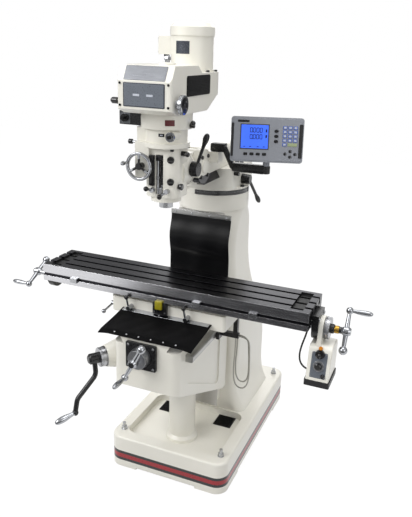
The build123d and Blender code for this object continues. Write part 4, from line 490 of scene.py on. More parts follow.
def close_tree(tree, geometry, material):
    """Ends a tree: real geometry in one material."""
    real = put(tree, "GeometryNodeRealizeInstances", {"Geometry": geometry})
    dressed = put(tree, "GeometryNodeSetMaterial", {"Geometry": real, "Material": material})
    put(tree, "NodeGroupOutput", {"Geometry": dressed})


def stud_tree():
    """Heads on the points of a mesh, each along its point's aim: a stem and a broken top edge."""
    stem_share = 0.7
    tree, given = open_tree("Heads",
                            {"Points": "Geometry", "Radius": "Float", "Height": "Float", "Sides": "Int",
                             "Crown": "Float", "Material": "Material"})
    stem = put(tree, "ShaderNodeMath", {0: given["Height"], 1: stem_share}, operation="MULTIPLY")
    top = put(tree, "ShaderNodeMath", {0: given["Height"], 1: 1 - stem_share}, operation="MULTIPLY")
    narrow = put(tree, "ShaderNodeMath", {0: given["Radius"], 1: given["Crown"]}, operation="MULTIPLY")
    body = put(tree, "GeometryNodeMeshCone", {"Vertices": given["Sides"], "Radius Top": given["Radius"],
                                              "Radius Bottom": given["Radius"], "Depth": stem}, "Mesh")
    crown = put(tree, "GeometryNodeMeshCone", {"Vertices": given["Sides"], "Radius Top": narrow,
                                               "Radius Bottom": given["Radius"], "Depth": top}, "Mesh")
    lift = put(tree, "ShaderNodeCombineXYZ", {"Z": stem})
    raised = put(tree, "GeometryNodeTransform", {"Geometry": crown, "Translation": lift})
    joined = tree.nodes.new("GeometryNodeJoinGeometry")
    for part in (raised, body):
        tree.links.new(part, joined.inputs[0])
    aim = put(tree, "GeometryNodeInputNamedAttribute", {"Name": "aim"}, "Attribute",
              data_type="FLOAT_VECTOR")
    turn = put(tree, "FunctionNodeAlignRotationToVector", {"Vector": aim}, axis="Z")
    points = put(tree, "GeometryNodeMeshToPoints", {"Mesh": given["Points"]})
    studs = put(tree, "GeometryNodeInstanceOnPoints",
                {"Points": points, "Instance": joined.outputs[0], "Rotation": turn}, "Instances")
    close_tree(tree, studs, given["Material"])


def mark_tree():
    """Bars round a cylinder about Z: every so many is longer."""
    tree, given = open_tree("Marks", {"Radius": "Float", "Count": "Int", "Start": "Float", "Step": "Float",
                                      "Width": "Float", "Length": "Float", "Depth": "Float", "Every": "Int",
                                      "Longer": "Float", "Material": "Material"})
    index = put(tree, "GeometryNodeInputIndex")
    angle = put(tree, "ShaderNodeMath", {0: index, 1: given["Step"], 2: given["Start"]},
                operation="MULTIPLY_ADD")
    cosine = put(tree, "ShaderNodeMath", {0: angle}, operation="COSINE")
    sine = put(tree, "ShaderNodeMath", {0: angle}, operation="SINE")
    side = put(tree, "ShaderNodeMath", {0: cosine, 1: given["Radius"]}, operation="MULTIPLY")
    front = put(tree, "ShaderNodeMath", {0: sine, 1: given["Radius"]}, operation="MULTIPLY")
    where = put(tree, "ShaderNodeCombineXYZ", {"X": side, "Y": front})
    points = put(tree, "GeometryNodePoints", {"Count": given["Count"], "Position": where})
    size = put(tree, "ShaderNodeCombineXYZ",
               {"X": given["Depth"], "Y": given["Width"], "Z": given["Length"]})
    bar = put(tree, "GeometryNodeMeshCube", {"Size": size}, "Mesh")
    half = put(tree, "ShaderNodeMath", {0: given["Length"], 1: 0.5}, operation="MULTIPLY")
    lift = put(tree, "ShaderNodeCombineXYZ", {"Z": half})
    raised = put(tree, "GeometryNodeTransform", {"Geometry": bar, "Translation": lift})
    out = put(tree, "GeometryNodeInputPosition")
    turn = put(tree, "FunctionNodeAlignRotationToVector", {"Vector": out}, axis="X", pivot_axis="Z")
    order = put(tree, "ShaderNodeMath", {0: index, 1: given["Every"]}, operation="MODULO")
    is_long = put(tree, "ShaderNodeMath", {0: order, 1: 0.5}, operation="LESS_THAN")
    tall = put(tree, "ShaderNodeMath", {0: is_long, 1: given["Longer"], 2: 1.0}, operation="MULTIPLY_ADD")
    scale = put(tree, "ShaderNodeCombineXYZ", {"X": 1.0, "Y": 1.0, "Z": tall})
    bars = put(tree, "GeometryNodeInstanceOnPoints",
               {"Points": points, "Instance": raised, "Rotation": turn, "Scale": scale}, "Instances")
    close_tree(tree, bars, given["Material"])


def row_tree():
    """Blocks in columns and rows on a flat face, about its middle."""
    tree, given = open_tree("Rows",
                            {"Columns": "Int", "Rows": "Int", "Pitch Across": "Float", "Pitch Up": "Float",
                             "Width": "Float", "Height": "Float", "Rise": "Float", "Material": "Material"})
    index = put(tree, "GeometryNodeInputIndex")
    count = put(tree, "ShaderNodeMath", {0: given["Columns"], 1: given["Rows"]}, operation="MULTIPLY")
    column = put(tree, "ShaderNodeMath", {0: index, 1: given["Columns"]}, operation="MODULO")
    share = put(tree, "ShaderNodeMath", {0: index, 1: given["Columns"]}, operation="DIVIDE")
    row = put(tree, "ShaderNodeMath", {0: share}, operation="FLOOR")
    offsets = []
    for number, total, pitch in ((column, "Columns", "Pitch Across"), (row, "Rows", "Pitch Up")):
        last = put(tree, "ShaderNodeMath", {0: given[total], 1: 1.0}, operation="SUBTRACT")
        middle = put(tree, "ShaderNodeMath", {0: last, 1: 0.5}, operation="MULTIPLY")
        apart = put(tree, "ShaderNodeMath", {0: number, 1: middle}, operation="SUBTRACT")
        offsets.append(put(tree, "ShaderNodeMath", {0: apart, 1: given[pitch]}, operation="MULTIPLY"))
    lift = put(tree, "ShaderNodeMath", {0: given["Rise"], 1: 0.5}, operation="MULTIPLY")
    where = put(tree, "ShaderNodeCombineXYZ", {"X": offsets[0], "Y": offsets[1], "Z": lift})
    points = put(tree, "GeometryNodePoints", {"Count": count, "Position": where})
    size = put(tree, "ShaderNodeCombineXYZ", {"X": given["Width"], "Y": given["Height"], "Z": given["Rise"]})
    block = put(tree, "GeometryNodeMeshCube", {"Size": size}, "Mesh")
    blocks = put(tree, "GeometryNodeInstanceOnPoints", {"Points": points, "Instance": block}, "Instances")
    close_tree(tree, blocks, given["Material"])


def armour_tree():
    """Ringed hose along a curve: the radius goes in and out at every half pitch."""
    sides = 12
    tree, given = open_tree("Armour", {"Route": "Geometry", "Radius": "Float", "Pitch": "Float",
                                       "Waist": "Float", "Material": "Material"})
    half = put(tree, "ShaderNodeMath", {0: given["Pitch"], 1: 0.5}, operation="MULTIPLY")
    even = tree.nodes.new("GeometryNodeResampleCurve")
    even.mode = "LENGTH"
    tree.links.new(given["Route"], even.inputs["Curve"])
    tree.links.new(half, next(s for s in even.inputs if s.identifier == "Length"))
    index = put(tree, "GeometryNodeInputIndex")
    odd = put(tree, "ShaderNodeMath", {0: index, 1: 2.0}, operation="MODULO")
    inward = put(tree, "ShaderNodeMath", {0: odd, 1: given["Waist"]}, operation="MULTIPLY")
    scale = put(tree, "ShaderNodeMath", {0: 1.0, 1: inward}, operation="SUBTRACT")
    profile = put(tree, "GeometryNodeCurvePrimitiveCircle", {"Resolution": sides, "Radius": given["Radius"]},
                  "Curve")
    hose = put(tree, "GeometryNodeCurveToMesh", {"Curve": even.outputs[0], "Profile Curve": profile,
                                                 "Scale": scale, "Fill Caps": True}, "Mesh")
    close_tree(tree, hose, given["Material"])


def grow(name, tree_name, values, look_name, body, place=None, source=None):
    """Runs a tree on a source object, or on nothing, and sets its mesh down as a piece."""
    tree = trees[tree_name]
    holder = source or add(name + "_source", bpy.data.meshes.new(name + "_source"))
    modifier = holder.modifiers.new("Repeat", "NODES")
    modifier.node_group = tree
    wanted = {**values, "Material": finish(look_name)}
    for item in tree.interface.items_tree:
        if item.in_out == "INPUT" and item.name in wanted:
            modifier[item.identifier] = wanted[item.name]
    mesh = real_mesh(holder)
    holder.modifiers.remove(modifier)
    bpy.data.objects.remove(holder)
    if place:
        shift = place.copy()
        shift.translation *= MM
        mesh.transform(shift)
    mesh.name = name
    return settle(mesh, name, look_name, body)


def heads(name, places, aim, look_name, body, slot, radius, height, sides=6, crown=0.86):
    """Screw or rivet heads at places, all along one direction or one for each."""
    mesh = bpy.data.meshes.new(name + "_points")
    mesh.from_pydata([Vector(p) * MM for p in places], [], [])
    aims = mesh.attributes.new("aim", "FLOAT_VECTOR", "POINT")
    for i in range(len(places)):
        aims.data[i].vector = aim[i] if isinstance(aim, list) else aim
    source = add(name + "_points", mesh)
    values = {"Radius": radius * MM, "Height": height * MM, "Sides": sides, "Crown": crown}
    return grow(name, "Heads", values, look_name, body, source=source)


def marks(name, origin, axis, look_name, body, radius, count, length, width=0.9, depth=1.2,
          every=10, longer=0.7, start=0.0, sweep=FULL_TURN):
    """Dial marks or knurls round a line, from an origin along the line. The sweep is in degrees."""
    place = facing(origin, across(axis)[0], axis)
    step = math.radians(sweep) / (count if sweep == FULL_TURN else count - 1)
    values = {"Radius": radius * MM, "Count": count, "Start": math.radians(start), "Step": step,
              "Width": width * MM, "Length": length * MM, "Depth": depth * MM, "Every": every,
              "Longer": longer}
    return grow(name, "Marks", values, look_name, body, place=place)


def rows(name, place, look_name, body, columns, lines, pitch, size):
    """Blocks in columns and rows on a placed face: pitch is (across, up), size is (width, height, rise)."""
    values = {"Columns": columns, "Rows": lines, "Pitch Across": pitch[0] * MM, "Pitch Up": pitch[1] * MM,
              "Width": size[0] * MM, "Height": size[1] * MM, "Rise": size[2] * MM}
    return grow(name, "Rows", values, look_name, body, place=place)


# Camera: measured against the edges of the machine in the picture, angles in degrees
CAMERA_PLACE = (1061, -2672, 1964)
CAMERA_YAW = 22.07
CAMERA_PITCH = 19.18
CAMERA_ROLL = 1.88
CAMERA_LENS, CAMERA_SENSOR = 42.64, 36
# How far the camera sees, in metres
CAMERA_REACH = 100
# Lamps: name, place, size and power in watts, all aimed at the middle of the machine
LAMPS = (("key", (-2600, -3200, 3600), 2400, 120), ("fill", (3400, -2400, 2400), 2400, 30),
         ("top", (300, -300, 4600), 2600, 55), ("back", (-800, 3600, 2800), 2400, 30))
LAMP_AIM = (0, -200, 1000)
# Brightness of the room by height of view, and the heights at which it is full
ROOM_LOW, ROOM_LEVEL, ROOM_HIGH = 0.45, 0.16, 0.75
VIEW_DOWN, VIEW_UP = -0.6, 0.7
# Floor: half its width, its glow, and the share of the glow in what is seen
FLOOR_HALF, FLOOR_GLOW, FLOOR_SHOW = 9000, 1.16, 0.82
# Dark card on the floor that only reflections show
CARD_LOW, CARD_HIGH, CARD_LIFT = (-1350, -5200), (3600, -1500), 2
CARD_ROUGHNESS = 0.9


class MILL_OT_stage(bpy.types.Operator):
    """Floor, soft lamps, white surroundings and the camera"""

    bl_idname = "mill.stage"
    bl_label = "Stage"

    def execute(self, context):
        scene = context.scene
        scene.view_settings.view_transform = "Standard"
        scene.camera = self.camera()
        self.lamps()
        scene.world = self.room()
        half = FLOOR_HALF
        floor = self.sheet("floor", (-half, -half), (half, half), 0, self.floor_paint())
        card = self.sheet("card", CARD_LOW, CARD_HIGH, CARD_LIFT, self.felt())
        card.visible_camera = False
        card.visible_diffuse = False
        card.visible_shadow = False
        return {"FINISHED"}

    def camera(self):
        """Camera at the place from which the picture was taken."""
        yaw, pitch, roll = (math.radians(a) for a in (CAMERA_YAW, CAMERA_PITCH, CAMERA_ROLL))
        right = Vector((math.cos(yaw), math.sin(yaw), 0))
        ahead = Vector((-math.sin(yaw) * math.cos(pitch), math.cos(yaw) * math.cos(pitch), -math.sin(pitch)))
        up = right.cross(ahead)
        rolled = right * math.cos(roll) + up * math.sin(roll)
        lens = bpy.data.cameras.new("camera")
        lens.lens = CAMERA_LENS
        lens.sensor_width = CAMERA_SENSOR
        lens.clip_end = CAMERA_REACH
        made = add("camera", lens)
        made.matrix_world = facing(Vector(CAMERA_PLACE) * MM, rolled, -ahead)
        return made

    def lamps(self):
        """Large soft lamps round the machine."""
        for name, place, size, power in LAMPS:
            lamp = bpy.data.lights.new(name, "AREA")
            lamp.size = size * MM
            lamp.energy = power
            away = (Vector(place) - Vector(LAMP_AIM)).normalized()
            add(name, lamp).matrix_world = facing(Vector(place) * MM, across(away)[0], away)

    def room(self):
        """Surroundings that look white, and light the machine by height."""
        world = bpy.data.worlds.new("white room")
        world.use_nodes = True
        tree = world.node_tree
        tree.nodes.clear()
        way = put(tree, "ShaderNodeTexCoord", give="Generated")
        rise = put(tree, "ShaderNodeSeparateXYZ", {"Vector": way}, "Z")
        above = put(tree, "ShaderNodeMapRange", {"Value": rise, "From Min": 0.0, "From Max": VIEW_UP,
                                                 "To Min": ROOM_LEVEL, "To Max": ROOM_HIGH})
        below = put(tree, "ShaderNodeMapRange", {"Value": rise, "From Min": VIEW_DOWN, "From Max": 0.0,
                                                 "To Min": ROOM_LOW, "To Max": ROOM_LEVEL})
        is_up = put(tree, "ShaderNodeMath", {0: rise, 1: 0.0}, operation="GREATER_THAN")
        light = put(tree, "ShaderNodeMix", {"Factor_Float": is_up, "A_Float": below, "B_Float": above})
        camera_ray = put(tree, "ShaderNodeLightPath", give="Is Camera Ray")
        strength = put(tree, "ShaderNodeMix", {"Factor_Float": camera_ray, "A_Float": light, "B_Float": 1.0})
        sky = put(tree, "ShaderNodeBackground", {"Color": linear("FFFFFF"), "Strength": strength})
        put(tree, "ShaderNodeOutputWorld", {"Surface": sky})
        return world

    def sheet(self, name, low, high, lift, material):
        """Level sheet between two corners."""
        (x0, y0), (x1, y1) = low, high
        corners = ((x0, y0, lift), (x1, y0, lift), (x1, y1, lift), (x0, y1, lift))
        mesh = bpy.data.meshes.new(name)
        mesh.from_pydata([Vector(p) * MM for p in corners], [], [(0, 1, 2, 3)])
        mesh.materials.append(material)
        return add(name, mesh)

    def felt(self):
        """Dull black felt, which gives the bright metal something to mirror."""
        made = bpy.data.materials.new("black felt")
        made.use_nodes = True
        shader = made.node_tree.nodes["Principled BSDF"]
        shader.inputs["Base Color"].default_value = linear("202022")
        shader.inputs["Roughness"].default_value = CARD_ROUGHNESS
        return made

    def floor_paint(self):
        """White floor that keeps a light shadow, where the camera, a reflection or glass shows it."""
        made = bpy.data.materials.new("matt floor paint")
        made.use_nodes = True
        tree = made.node_tree
        tree.nodes.clear()
        path = tree.nodes.new("ShaderNodeLightPath").outputs
        mirrored = put(tree, "ShaderNodeMath", {0: path["Is Glossy Ray"], 1: path["Is Transmission Ray"]},
                       operation="MAXIMUM")
        seen = put(tree, "ShaderNodeMath", {0: path["Is Camera Ray"], 1: mirrored}, operation="MAXIMUM")
        share = put(tree, "ShaderNodeMath", {0: seen, 1: FLOOR_SHOW}, operation="MULTIPLY")
        diffuse = put(tree, "ShaderNodeBsdfDiffuse", {"Color": linear("B4B4B4")})
        white = put(tree, "ShaderNodeEmission", {"Color": linear("FFFFFF"), "Strength": FLOOR_GLOW})
        mixed = put(tree, "ShaderNodeMixShader", {"Fac": share, "Shader": diffuse, "Shader_001": white})
        put(tree, "ShaderNodeOutputMaterial", {"Surface": mixed})
        return made


# Which solids take one finish all over
PLAIN_FINISHES = {
    "cream_enamel": ("screw_post", "saddle", "ram_adapter", "quill_housing", "gear_housing", "belt_housing",
                     "motor", "fan_cover", "turret"),
    "bright_steel": ("levelling_bolts", "elevating_screw", "quill", "spindle", "table_stops", "motor_pulley",
                     "spindle_pulley"),
    "polished_chrome": ("cross_crank", "table_cranks", "saddle_lock"),
    "satin_chrome": ("elevating_shaft", "cross_screw", "lead_screw"),
    "black_enamel": ("cross_feed_plate", "scale_reader", "screw_brackets", "drum_switch", "display_arm",
                     "quill_lever", "ram_handle", "ram_lock_front", "ram_lock_rear"),
    "phenolic": ("switch_lever", "brake_lever", "engage_lever", "range_lever", "feed_lever", "speed_knob"),
    "anodised": ("y_scale",),
    "soft_rubber": ("drive_belt", "feed_cord"),
    "rubber_sheet": ("column_guard",),
    "cloth_sheet": ("front_way_cover",),
    "steel_armour": ("outer_cable", "inner_cable"),
    "grey_abs": ("display",),
}
# Levers with a chrome arm, and where the phenolic ball at its end is
BALLS = {"table_lock_left": (-179, -522, 917.9), "table_lock_right": (95, -522, 917.9),
         "trip_lever": (-40, -601, 1430.3), "quill_lock": (14, -593, 1402.3)}
BALL_ZONE = 11.5
# Where one finish ends and another begins on the castings
RAIL_ROOT, RAIL_TOP = -111.0, 1240.5
KNEE_TOP, KNEE_FRONT = 792.4, -689.0
RAM_WAY, PAD_TOP = 1448.6, 701.2
# Depth of the zone at the table's front and underside, and the half sizes of the troughs at its ends, whose
# hollows get painted shade
TABLE_SKIN = 0.4
TROUGH_X, TROUGH_Z, TROUGH_HALF = 566, 986, (26.4, 94.9, 9)
# Where knobs end on chrome parts, and zones about the middle of a hub or a grip
DIAL_FACE, PULL_FACE = -612.6, -152
WHEEL_HUB, WHEEL_HUB_ZONE = (-70, -600, 1515.3), 30
SPEED_HUB, SPEED_HUB_ZONE = (146, -650, 1761.7), 28
GRIP, GRIP_ZONE = (-327.4, -815.2, 434.0), 52


class MILL_OT_finishes(bpy.types.Operator):
    """Finishes of the solids"""

    bl_idname = "mill.finishes"
    bl_label = "Finishes of the solids"

    def execute(self, context):
        wanted = {node: (name,) for name, nodes in PLAIN_FINISHES.items() for node in nodes}
        wanted.update(self.zoned(context.scene.mill_sizes))
        for node, ball in BALLS.items():
            wanted[node] = ("chrome_and_ball_" + node, "polished_chrome",
                            ("phenolic", "near", ball, BALL_ZONE))
        undressed = [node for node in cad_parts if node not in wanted]
        if undressed:
            raise RuntimeError("no finish for " + ", ".join(undressed))
        for node, given in wanted.items():
            self.dress(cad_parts[node], finish(*given))
        return {"FINISHED"}

    def zoned(self, sizes):
        """Solids that take more than one finish: a material's name, its main finish and the zones."""
        low, rim, line = (size / MM for size in (sizes.line_low, sizes.rim_width, sizes.line_width))
        table_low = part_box("table")[0] / MM
        # Painted shade: the hollows of the troughs at the table's ends are painted dark
        troughs = [("dark_gauze_and_painted_shade", "box", (side * TROUGH_X, LEAD_Y, TROUGH_Z), TROUGH_HALF) for side in SIDES]
        return {
            "base": ("lined_enamel", "cream_enamel", ("black_vinyl", "band", Z, (low, low + 2 * rim + line)),
                     ("red_vinyl", "band", Z, (low + rim, low + rim + line))),
            "column": ("enamel_and_rail", "cream_enamel", ("bright_iron", "below", Y, RAIL_ROOT),
                       ("cream_enamel", "above", Z, RAIL_TOP)),
            "knee": ("enamel_and_ways", "cream_enamel", ("bright_iron", "above", Z, KNEE_TOP),
                     ("cream_enamel", "below", Y, KNEE_FRONT)),
            # The ram's dovetail is bare ground iron, and its dark colour is also painted shade under the ram
            "ram": ("enamel_and_dovetail_shade", "cream_enamel", ("ground_iron", "below", Z, RAM_WAY)),
            "table": ("table_iron", "ground_iron", ("bright_iron", "below", Y, table_low.y + TABLE_SKIN),
                      ("black_enamel", "below", Z, table_low.z + TABLE_SKIN), *troughs),
            "feed_housing": ("enamel_on_pad", "cream_enamel", ("soft_rubber", "below", Z, PAD_TOP)),
            "rate_dial": ("chrome_and_knob", "polished_chrome", ("phenolic", "below", Y, DIAL_FACE)),
            "feed_wheel": ("chrome_wheel", "polished_chrome",
                           ("phenolic", "near", WHEEL_HUB, WHEEL_HUB_ZONE)),
            "speed_wheel": ("chrome_knob", "polished_chrome",
                            ("ground_iron", "near", SPEED_HUB, SPEED_HUB_ZONE)),
            "feed_select": ("chrome_pull", "polished_chrome", ("phenolic", "below", X, PULL_FACE)),
            "elevating_crank": ("black_bar_chrome_grip", "black_enamel",
                                ("polished_chrome", "near", GRIP, GRIP_ZONE)),
        }

    def dress(self, solid, material):
        """Gives every slot of a solid one material."""
        if not solid.material_slots:
            solid.data.materials.append(material)
        for slot in solid.material_slots:
            slot.material = material


# Leads: their routes are those of the solids that they stand for, as (over, down) from where each starts
OUTER_LOOP = ((0, 74), (-4, 130), (-3, 182), (2, 224), (20, 248), (48, 248), (66, 224), (72, 180), (71, 120),
              (69, 70))
INNER_LOOP = ((0, 70), (-4, 120), (-3, 164), (2, 196), (17, 220), (43, 220), (58, 196), (61, 152), (59, 102),
              (56, 64))
CORD_HANG = ((0, 56), (-6, 112), (-23, 172), (-31, 226), (-20, 266), (14, 286), (58, 281), (92, 256))
HOSE_START_Z, HOSE_BEND_Z, HOSE_END_X, HOSE_END_Z = 726, 717, 275, 737
HOSE_RADIUS, HOSE_WAIST, HOSE_TURN = 3.5, 0.16, 20
CORD_START = (580, -287, 918)
CORD_END = ((688, -287, 696), (694, -307, 716), (694, -344, 716))
CORD_RADIUS = 4.0
LEAD_STEPS, CORD_STEPS = 16, 4


def route_curve(name, route):
    """Smooth open curve whose control points are a route's points."""
    curve = bpy.data.curves.new(name, "CURVE")
    curve.dimensions = "3D"
    curve.resolution_u = LEAD_STEPS
    spline = curve.splines.new("NURBS")
    spline.points.add(len(route) - 1)
    for point, place in zip(spline.points, route):
        point.co = (*(Vector(place) * MM), 1)
    spline.order_u = 3
    spline.use_endpoint_u = True
    return add(name, curve)


def trace(curve):
    """Points along a curve, and its length."""
    path = [v.co.copy() for v in real_mesh(curve).vertices]
    return path, sum((b - a).length for a, b in zip(path, path[1:]))


class MILL_OT_leads(bpy.types.Operator):
    """Two armoured scale leads and the power feed's cord"""

    bl_idname = "mill.leads"
    bl_label = "Leads"

    def execute(self, context):
        pitch = context.scene.mill_sizes.armour_pitch
        self.hose("outer_cable", x=262, y=-313, loop=OUTER_LOOP, bow=66, pitch=pitch)
        self.hose("inner_cable", x=267, y=-302, loop=INNER_LOOP, bow=52, pitch=pitch)
        self.feed_cord()
        return {"FINISHED"}

    def hose(self, name, x, y, loop, bow, pitch):
        """Armoured lead that hangs in a loop from x, and comes up again at a bow's width from there."""
        route = [(x, y, HOSE_START_Z), *[(x + over, y, HOSE_START_Z - down) for over, down in loop],
                 (x + bow, y, HOSE_BEND_Z), (x + bow - HOSE_TURN, y, HOSE_END_Z),
                 (HOSE_END_X, y, HOSE_END_Z)]
        line = route_curve(name + "_line", route)
        path, length = trace(line)
        values = {"Radius": HOSE_RADIUS * MM, "Pitch": pitch, "Waist": HOSE_WAIST}
        hose = grow(name + "_hose", "Armour", values, "steel_armour", "saddle", source=line)
        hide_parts(name)

    def feed_cord(self):
        """Plain cord that hangs from the table's rear edge to the power feed."""
        x, y, z = CORD_START
        route = [CORD_START, *[(x + over, y, z - down) for over, down in CORD_HANG], *CORD_END]
        cord = route_curve("feed_lead", route)
        path, length = trace(cord)
        cord.data.bevel_depth = CORD_RADIUS * MM
        cord.data.bevel_resolution = CORD_STEPS
        cord.data.use_fill_caps = True
        cord.data.materials.append(finish("soft_rubber"))
        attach(cord, "table")
        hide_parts("feed_cord")


def rubber(name, columns, lines, point, look_name):
    """Rubber sheet from a rule that places a point for two shares. Returns it with its area."""
    mesh = bpy.data.meshes.new(name)
    places = [Vector(point(i / columns, j / lines)) * MM for j in range(lines + 1)
              for i in range(columns + 1)]
    wide = columns + 1
    faces = [(j * wide + i, j * wide + i + 1, (j + 1) * wide + i + 1, (j + 1) * wide + i)
             for j in range(lines) for i in range(columns)]
    mesh.from_pydata(places, [], faces)
    flat = add(name + "_flat", mesh)
    wall = flat.modifiers.new("Wall", "SOLIDIFY")
    wall.thickness = bpy.context.scene.mill_sizes.sheet
    wall.offset = 0
    solid = real_mesh(flat)
    area = sum(face.area for face in mesh.polygons)
    bpy.data.objects.remove(flat)
    return settle(solid, name, look_name, None), area


def smooth_path(points, share):
    """Value on a smooth line through (share, value) points."""
    for (a, low), (b, high) in zip(points, points[1:]):
        if share <= b:
            t = (share - a) / (b - a)
            return low + (high - low) * t * t * (3 - 2 * t)
    return points[-1][1]


def straight_path(points, share):
    """Point on the straight stretches through (share, value, value) points."""
    closeness = 1e-6
    for (a, *low), (b, *high) in zip(points, points[1:]):
        if share <= b + closeness:
            t = (share - a) / (b - a)
            return [start + (end - start) * t for start, end in zip(low, high)]
    return points[-1][1:]


class MILL_OT_covers(bpy.types.Operator):
    """Rubber guard on the column and rubber flap on the knee, with their strips and rivets"""

    bl_idname = "mill.covers"
    bl_label = "Covers"

    def execute(self, context):
        self.guard()
        self.flap()
        return {"FINISHED"}

    def guard(self):
        """Sheet that hangs down the column's front to the knee, from a screwed strip."""
        middle, half = 8.0, 148.5
        top, foot, hang = 1239.5, 833.0, -153.5
        bulge = ((0, 0), (0.074, 0), (0.3, 20), (0.55, 5), (1.0, 7))
        fold_deep, fold_turns, fold_slant, fold_from = 1.6, 7.0, 2.4, 0.08
        crease_deep, crease_at, crease_slant, crease_wide, crease_fade = 4.0, 0.46, 0.03, 0.03, 1.4

        def point(u, v):
            over = (u - 0.5) * 2
            fold = fold_deep * math.sin(v * math.pi) * (1 + math.sin(over * fold_turns + fold_slant * v))
            crease = crease_deep * math.exp(-((v - crease_at - crease_slant * over) / crease_wide) ** 2)
            forward = smooth_path(bulge, v) + fold * (v > fold_from) + crease * math.cos(over * crease_fade)
            return (middle + half * over, hang - forward, top + (foot - top) * v)

        sheet, area = rubber("guard_sheet", columns=36, lines=64, point=point, look_name="rubber_sheet")
        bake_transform(sheet)
        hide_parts("column_guard")
        strip_rear, strip_front, strip_high, screw_drop = hang - 1.7, hang - 5.6, 21, 10
        strip = Shape().block((middle - half, strip_front, top - strip_high),
                              (middle + half, strip_rear, top), edge=0.8)
        strip.done("guard_strip", "anodised", "stand", "scale_bar")
        places = [(middle + half * s, strip_front + 0.2, top - screw_drop) for s in (-0.86, -0.3, 0.3, 0.86)]
        heads("guard_screws", places, FRONT, "bright_steel", "stand", "bright_steel", radius=5, height=3,
              sides=16)

    def flap(self):
        """Sheet from the saddle over the front of the knee, riveted at both ends."""
        half = 213.0
        spine = ((0, -490.9, 854.1), (0.28, -550, 845.1), (0.88, -678, 836), (1.0, -702, 829))
        held, droop_deep = 0.68, 7.0
        wave_deep, wave_turns, wave_slant, wave_fade = 1.1, 9, 5, 0.4
        lip_deep, lip_turns, lip_from = 1.6, 12.0, 0.88

        def point(u, v):
            over = (u - 0.5) * 2
            y, z = straight_path(spine, v)
            free = max(abs(over) - held, 0) / (1 - held)
            droop = droop_deep * free * free * v
            ripple = math.sin(over * wave_turns + wave_slant * v) * math.sin(math.pi * v)
            wave = wave_deep * ripple * (1 - wave_fade * abs(over))
            lip = lip_deep * math.sin(over * lip_turns) * max(v - lip_from, 0) / (1 - lip_from)
            return (half * over, y - abs(lip), z - droop + abs(wave))

        sheet, area = rubber("flap_sheet", columns=56, lines=34, point=point, look_name="cloth_sheet")
        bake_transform(sheet)
        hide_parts("front_way_cover")
        strip_y, strip_tilt, front_tilt = -504, (0, -0.15, 0.989), (0, -0.3, 0.954)
        strip = Shape().plate(facing((0, strip_y, 853.8), RIGHT, strip_tilt), width=410, height=25,
                              thickness=2.0, corner=1.5, edge=0.5)
        strip.done("flap_strip", "polished_chrome", "saddle", "scale_bar")
        rivet = {"look_name": "bright_steel", "slot": "bright_steel", "sides": 12, "crown": 0.5}
        places = [(x, strip_y, 855.6) for x in spaced(half=196, count=8)]
        heads("flap_rivets", places, strip_tilt, radius=3.6, height=2, body="saddle", **rivet)
        places = [(x, -690, 834.4) for x in spaced(half=140, count=6)]
        heads("flap_front_rivets", places, front_tilt, radius=3.6, height=2.4, body="knee", **rivet)


class MILL_OT_base_parts(bpy.types.Operator):
    """Gauze screens in the coolant tray"""

    bl_idname = "mill.base_parts"
    bl_label = "Tray screens"

    def execute(self, context):
        self.screen("left", -154.0)
        self.screen("right", 154.0)
        return {"FINISHED"}

    def screen(self, tag, x):
        """Square screen: a rim on a thin plate, with bars one way and wires over them the other way."""
        y, floor = -108.0, 130.0
        side, rim, rise = 92.0, 7.0, 4
        inside = side - 2 * rim
        edge = Shape()
        for sign in SIDES:
            shift = sign * (side - rim) / 2
            edge.block((x - side / 2, y + shift - rim / 2, floor),
                       (x + side / 2, y + shift + rim / 2, floor + rise), edge=0.8)
            edge.block((x + shift - rim / 2, y - inside / 2, floor),
                       (x + shift + rim / 2, y + inside / 2, floor + rise), edge=0.8)
        edge.plate(facing((x, y, floor), RIGHT, UP), width=side - rim, height=side - rim, thickness=0.6,
                   corner=1, edge=0.2)
        edge.done("screen_rim_" + tag, "dark_gauze_and_painted_shade", "stand", "black_paint")
        count, wire, wire_rise, bars_lift, wires_lift = 19, 1.4, 1.2, 1.2, 2.0
        gap = inside / (count + 1)
        bars = facing((x, y, floor + bars_lift), RIGHT, UP)
        rows("screen_bars_" + tag, bars, "dark_gauze_and_painted_shade", "stand", columns=count, lines=1,
             pitch=(gap, 1), size=(wire, inside, wire_rise))
        wires = facing((x, y, floor + wires_lift), RIGHT, UP)
        rows("screen_wires_" + tag, wires, "dark_gauze_and_painted_shade", "stand", columns=1, lines=count,
             pitch=(1, gap), size=(inside, wire, wire_rise))


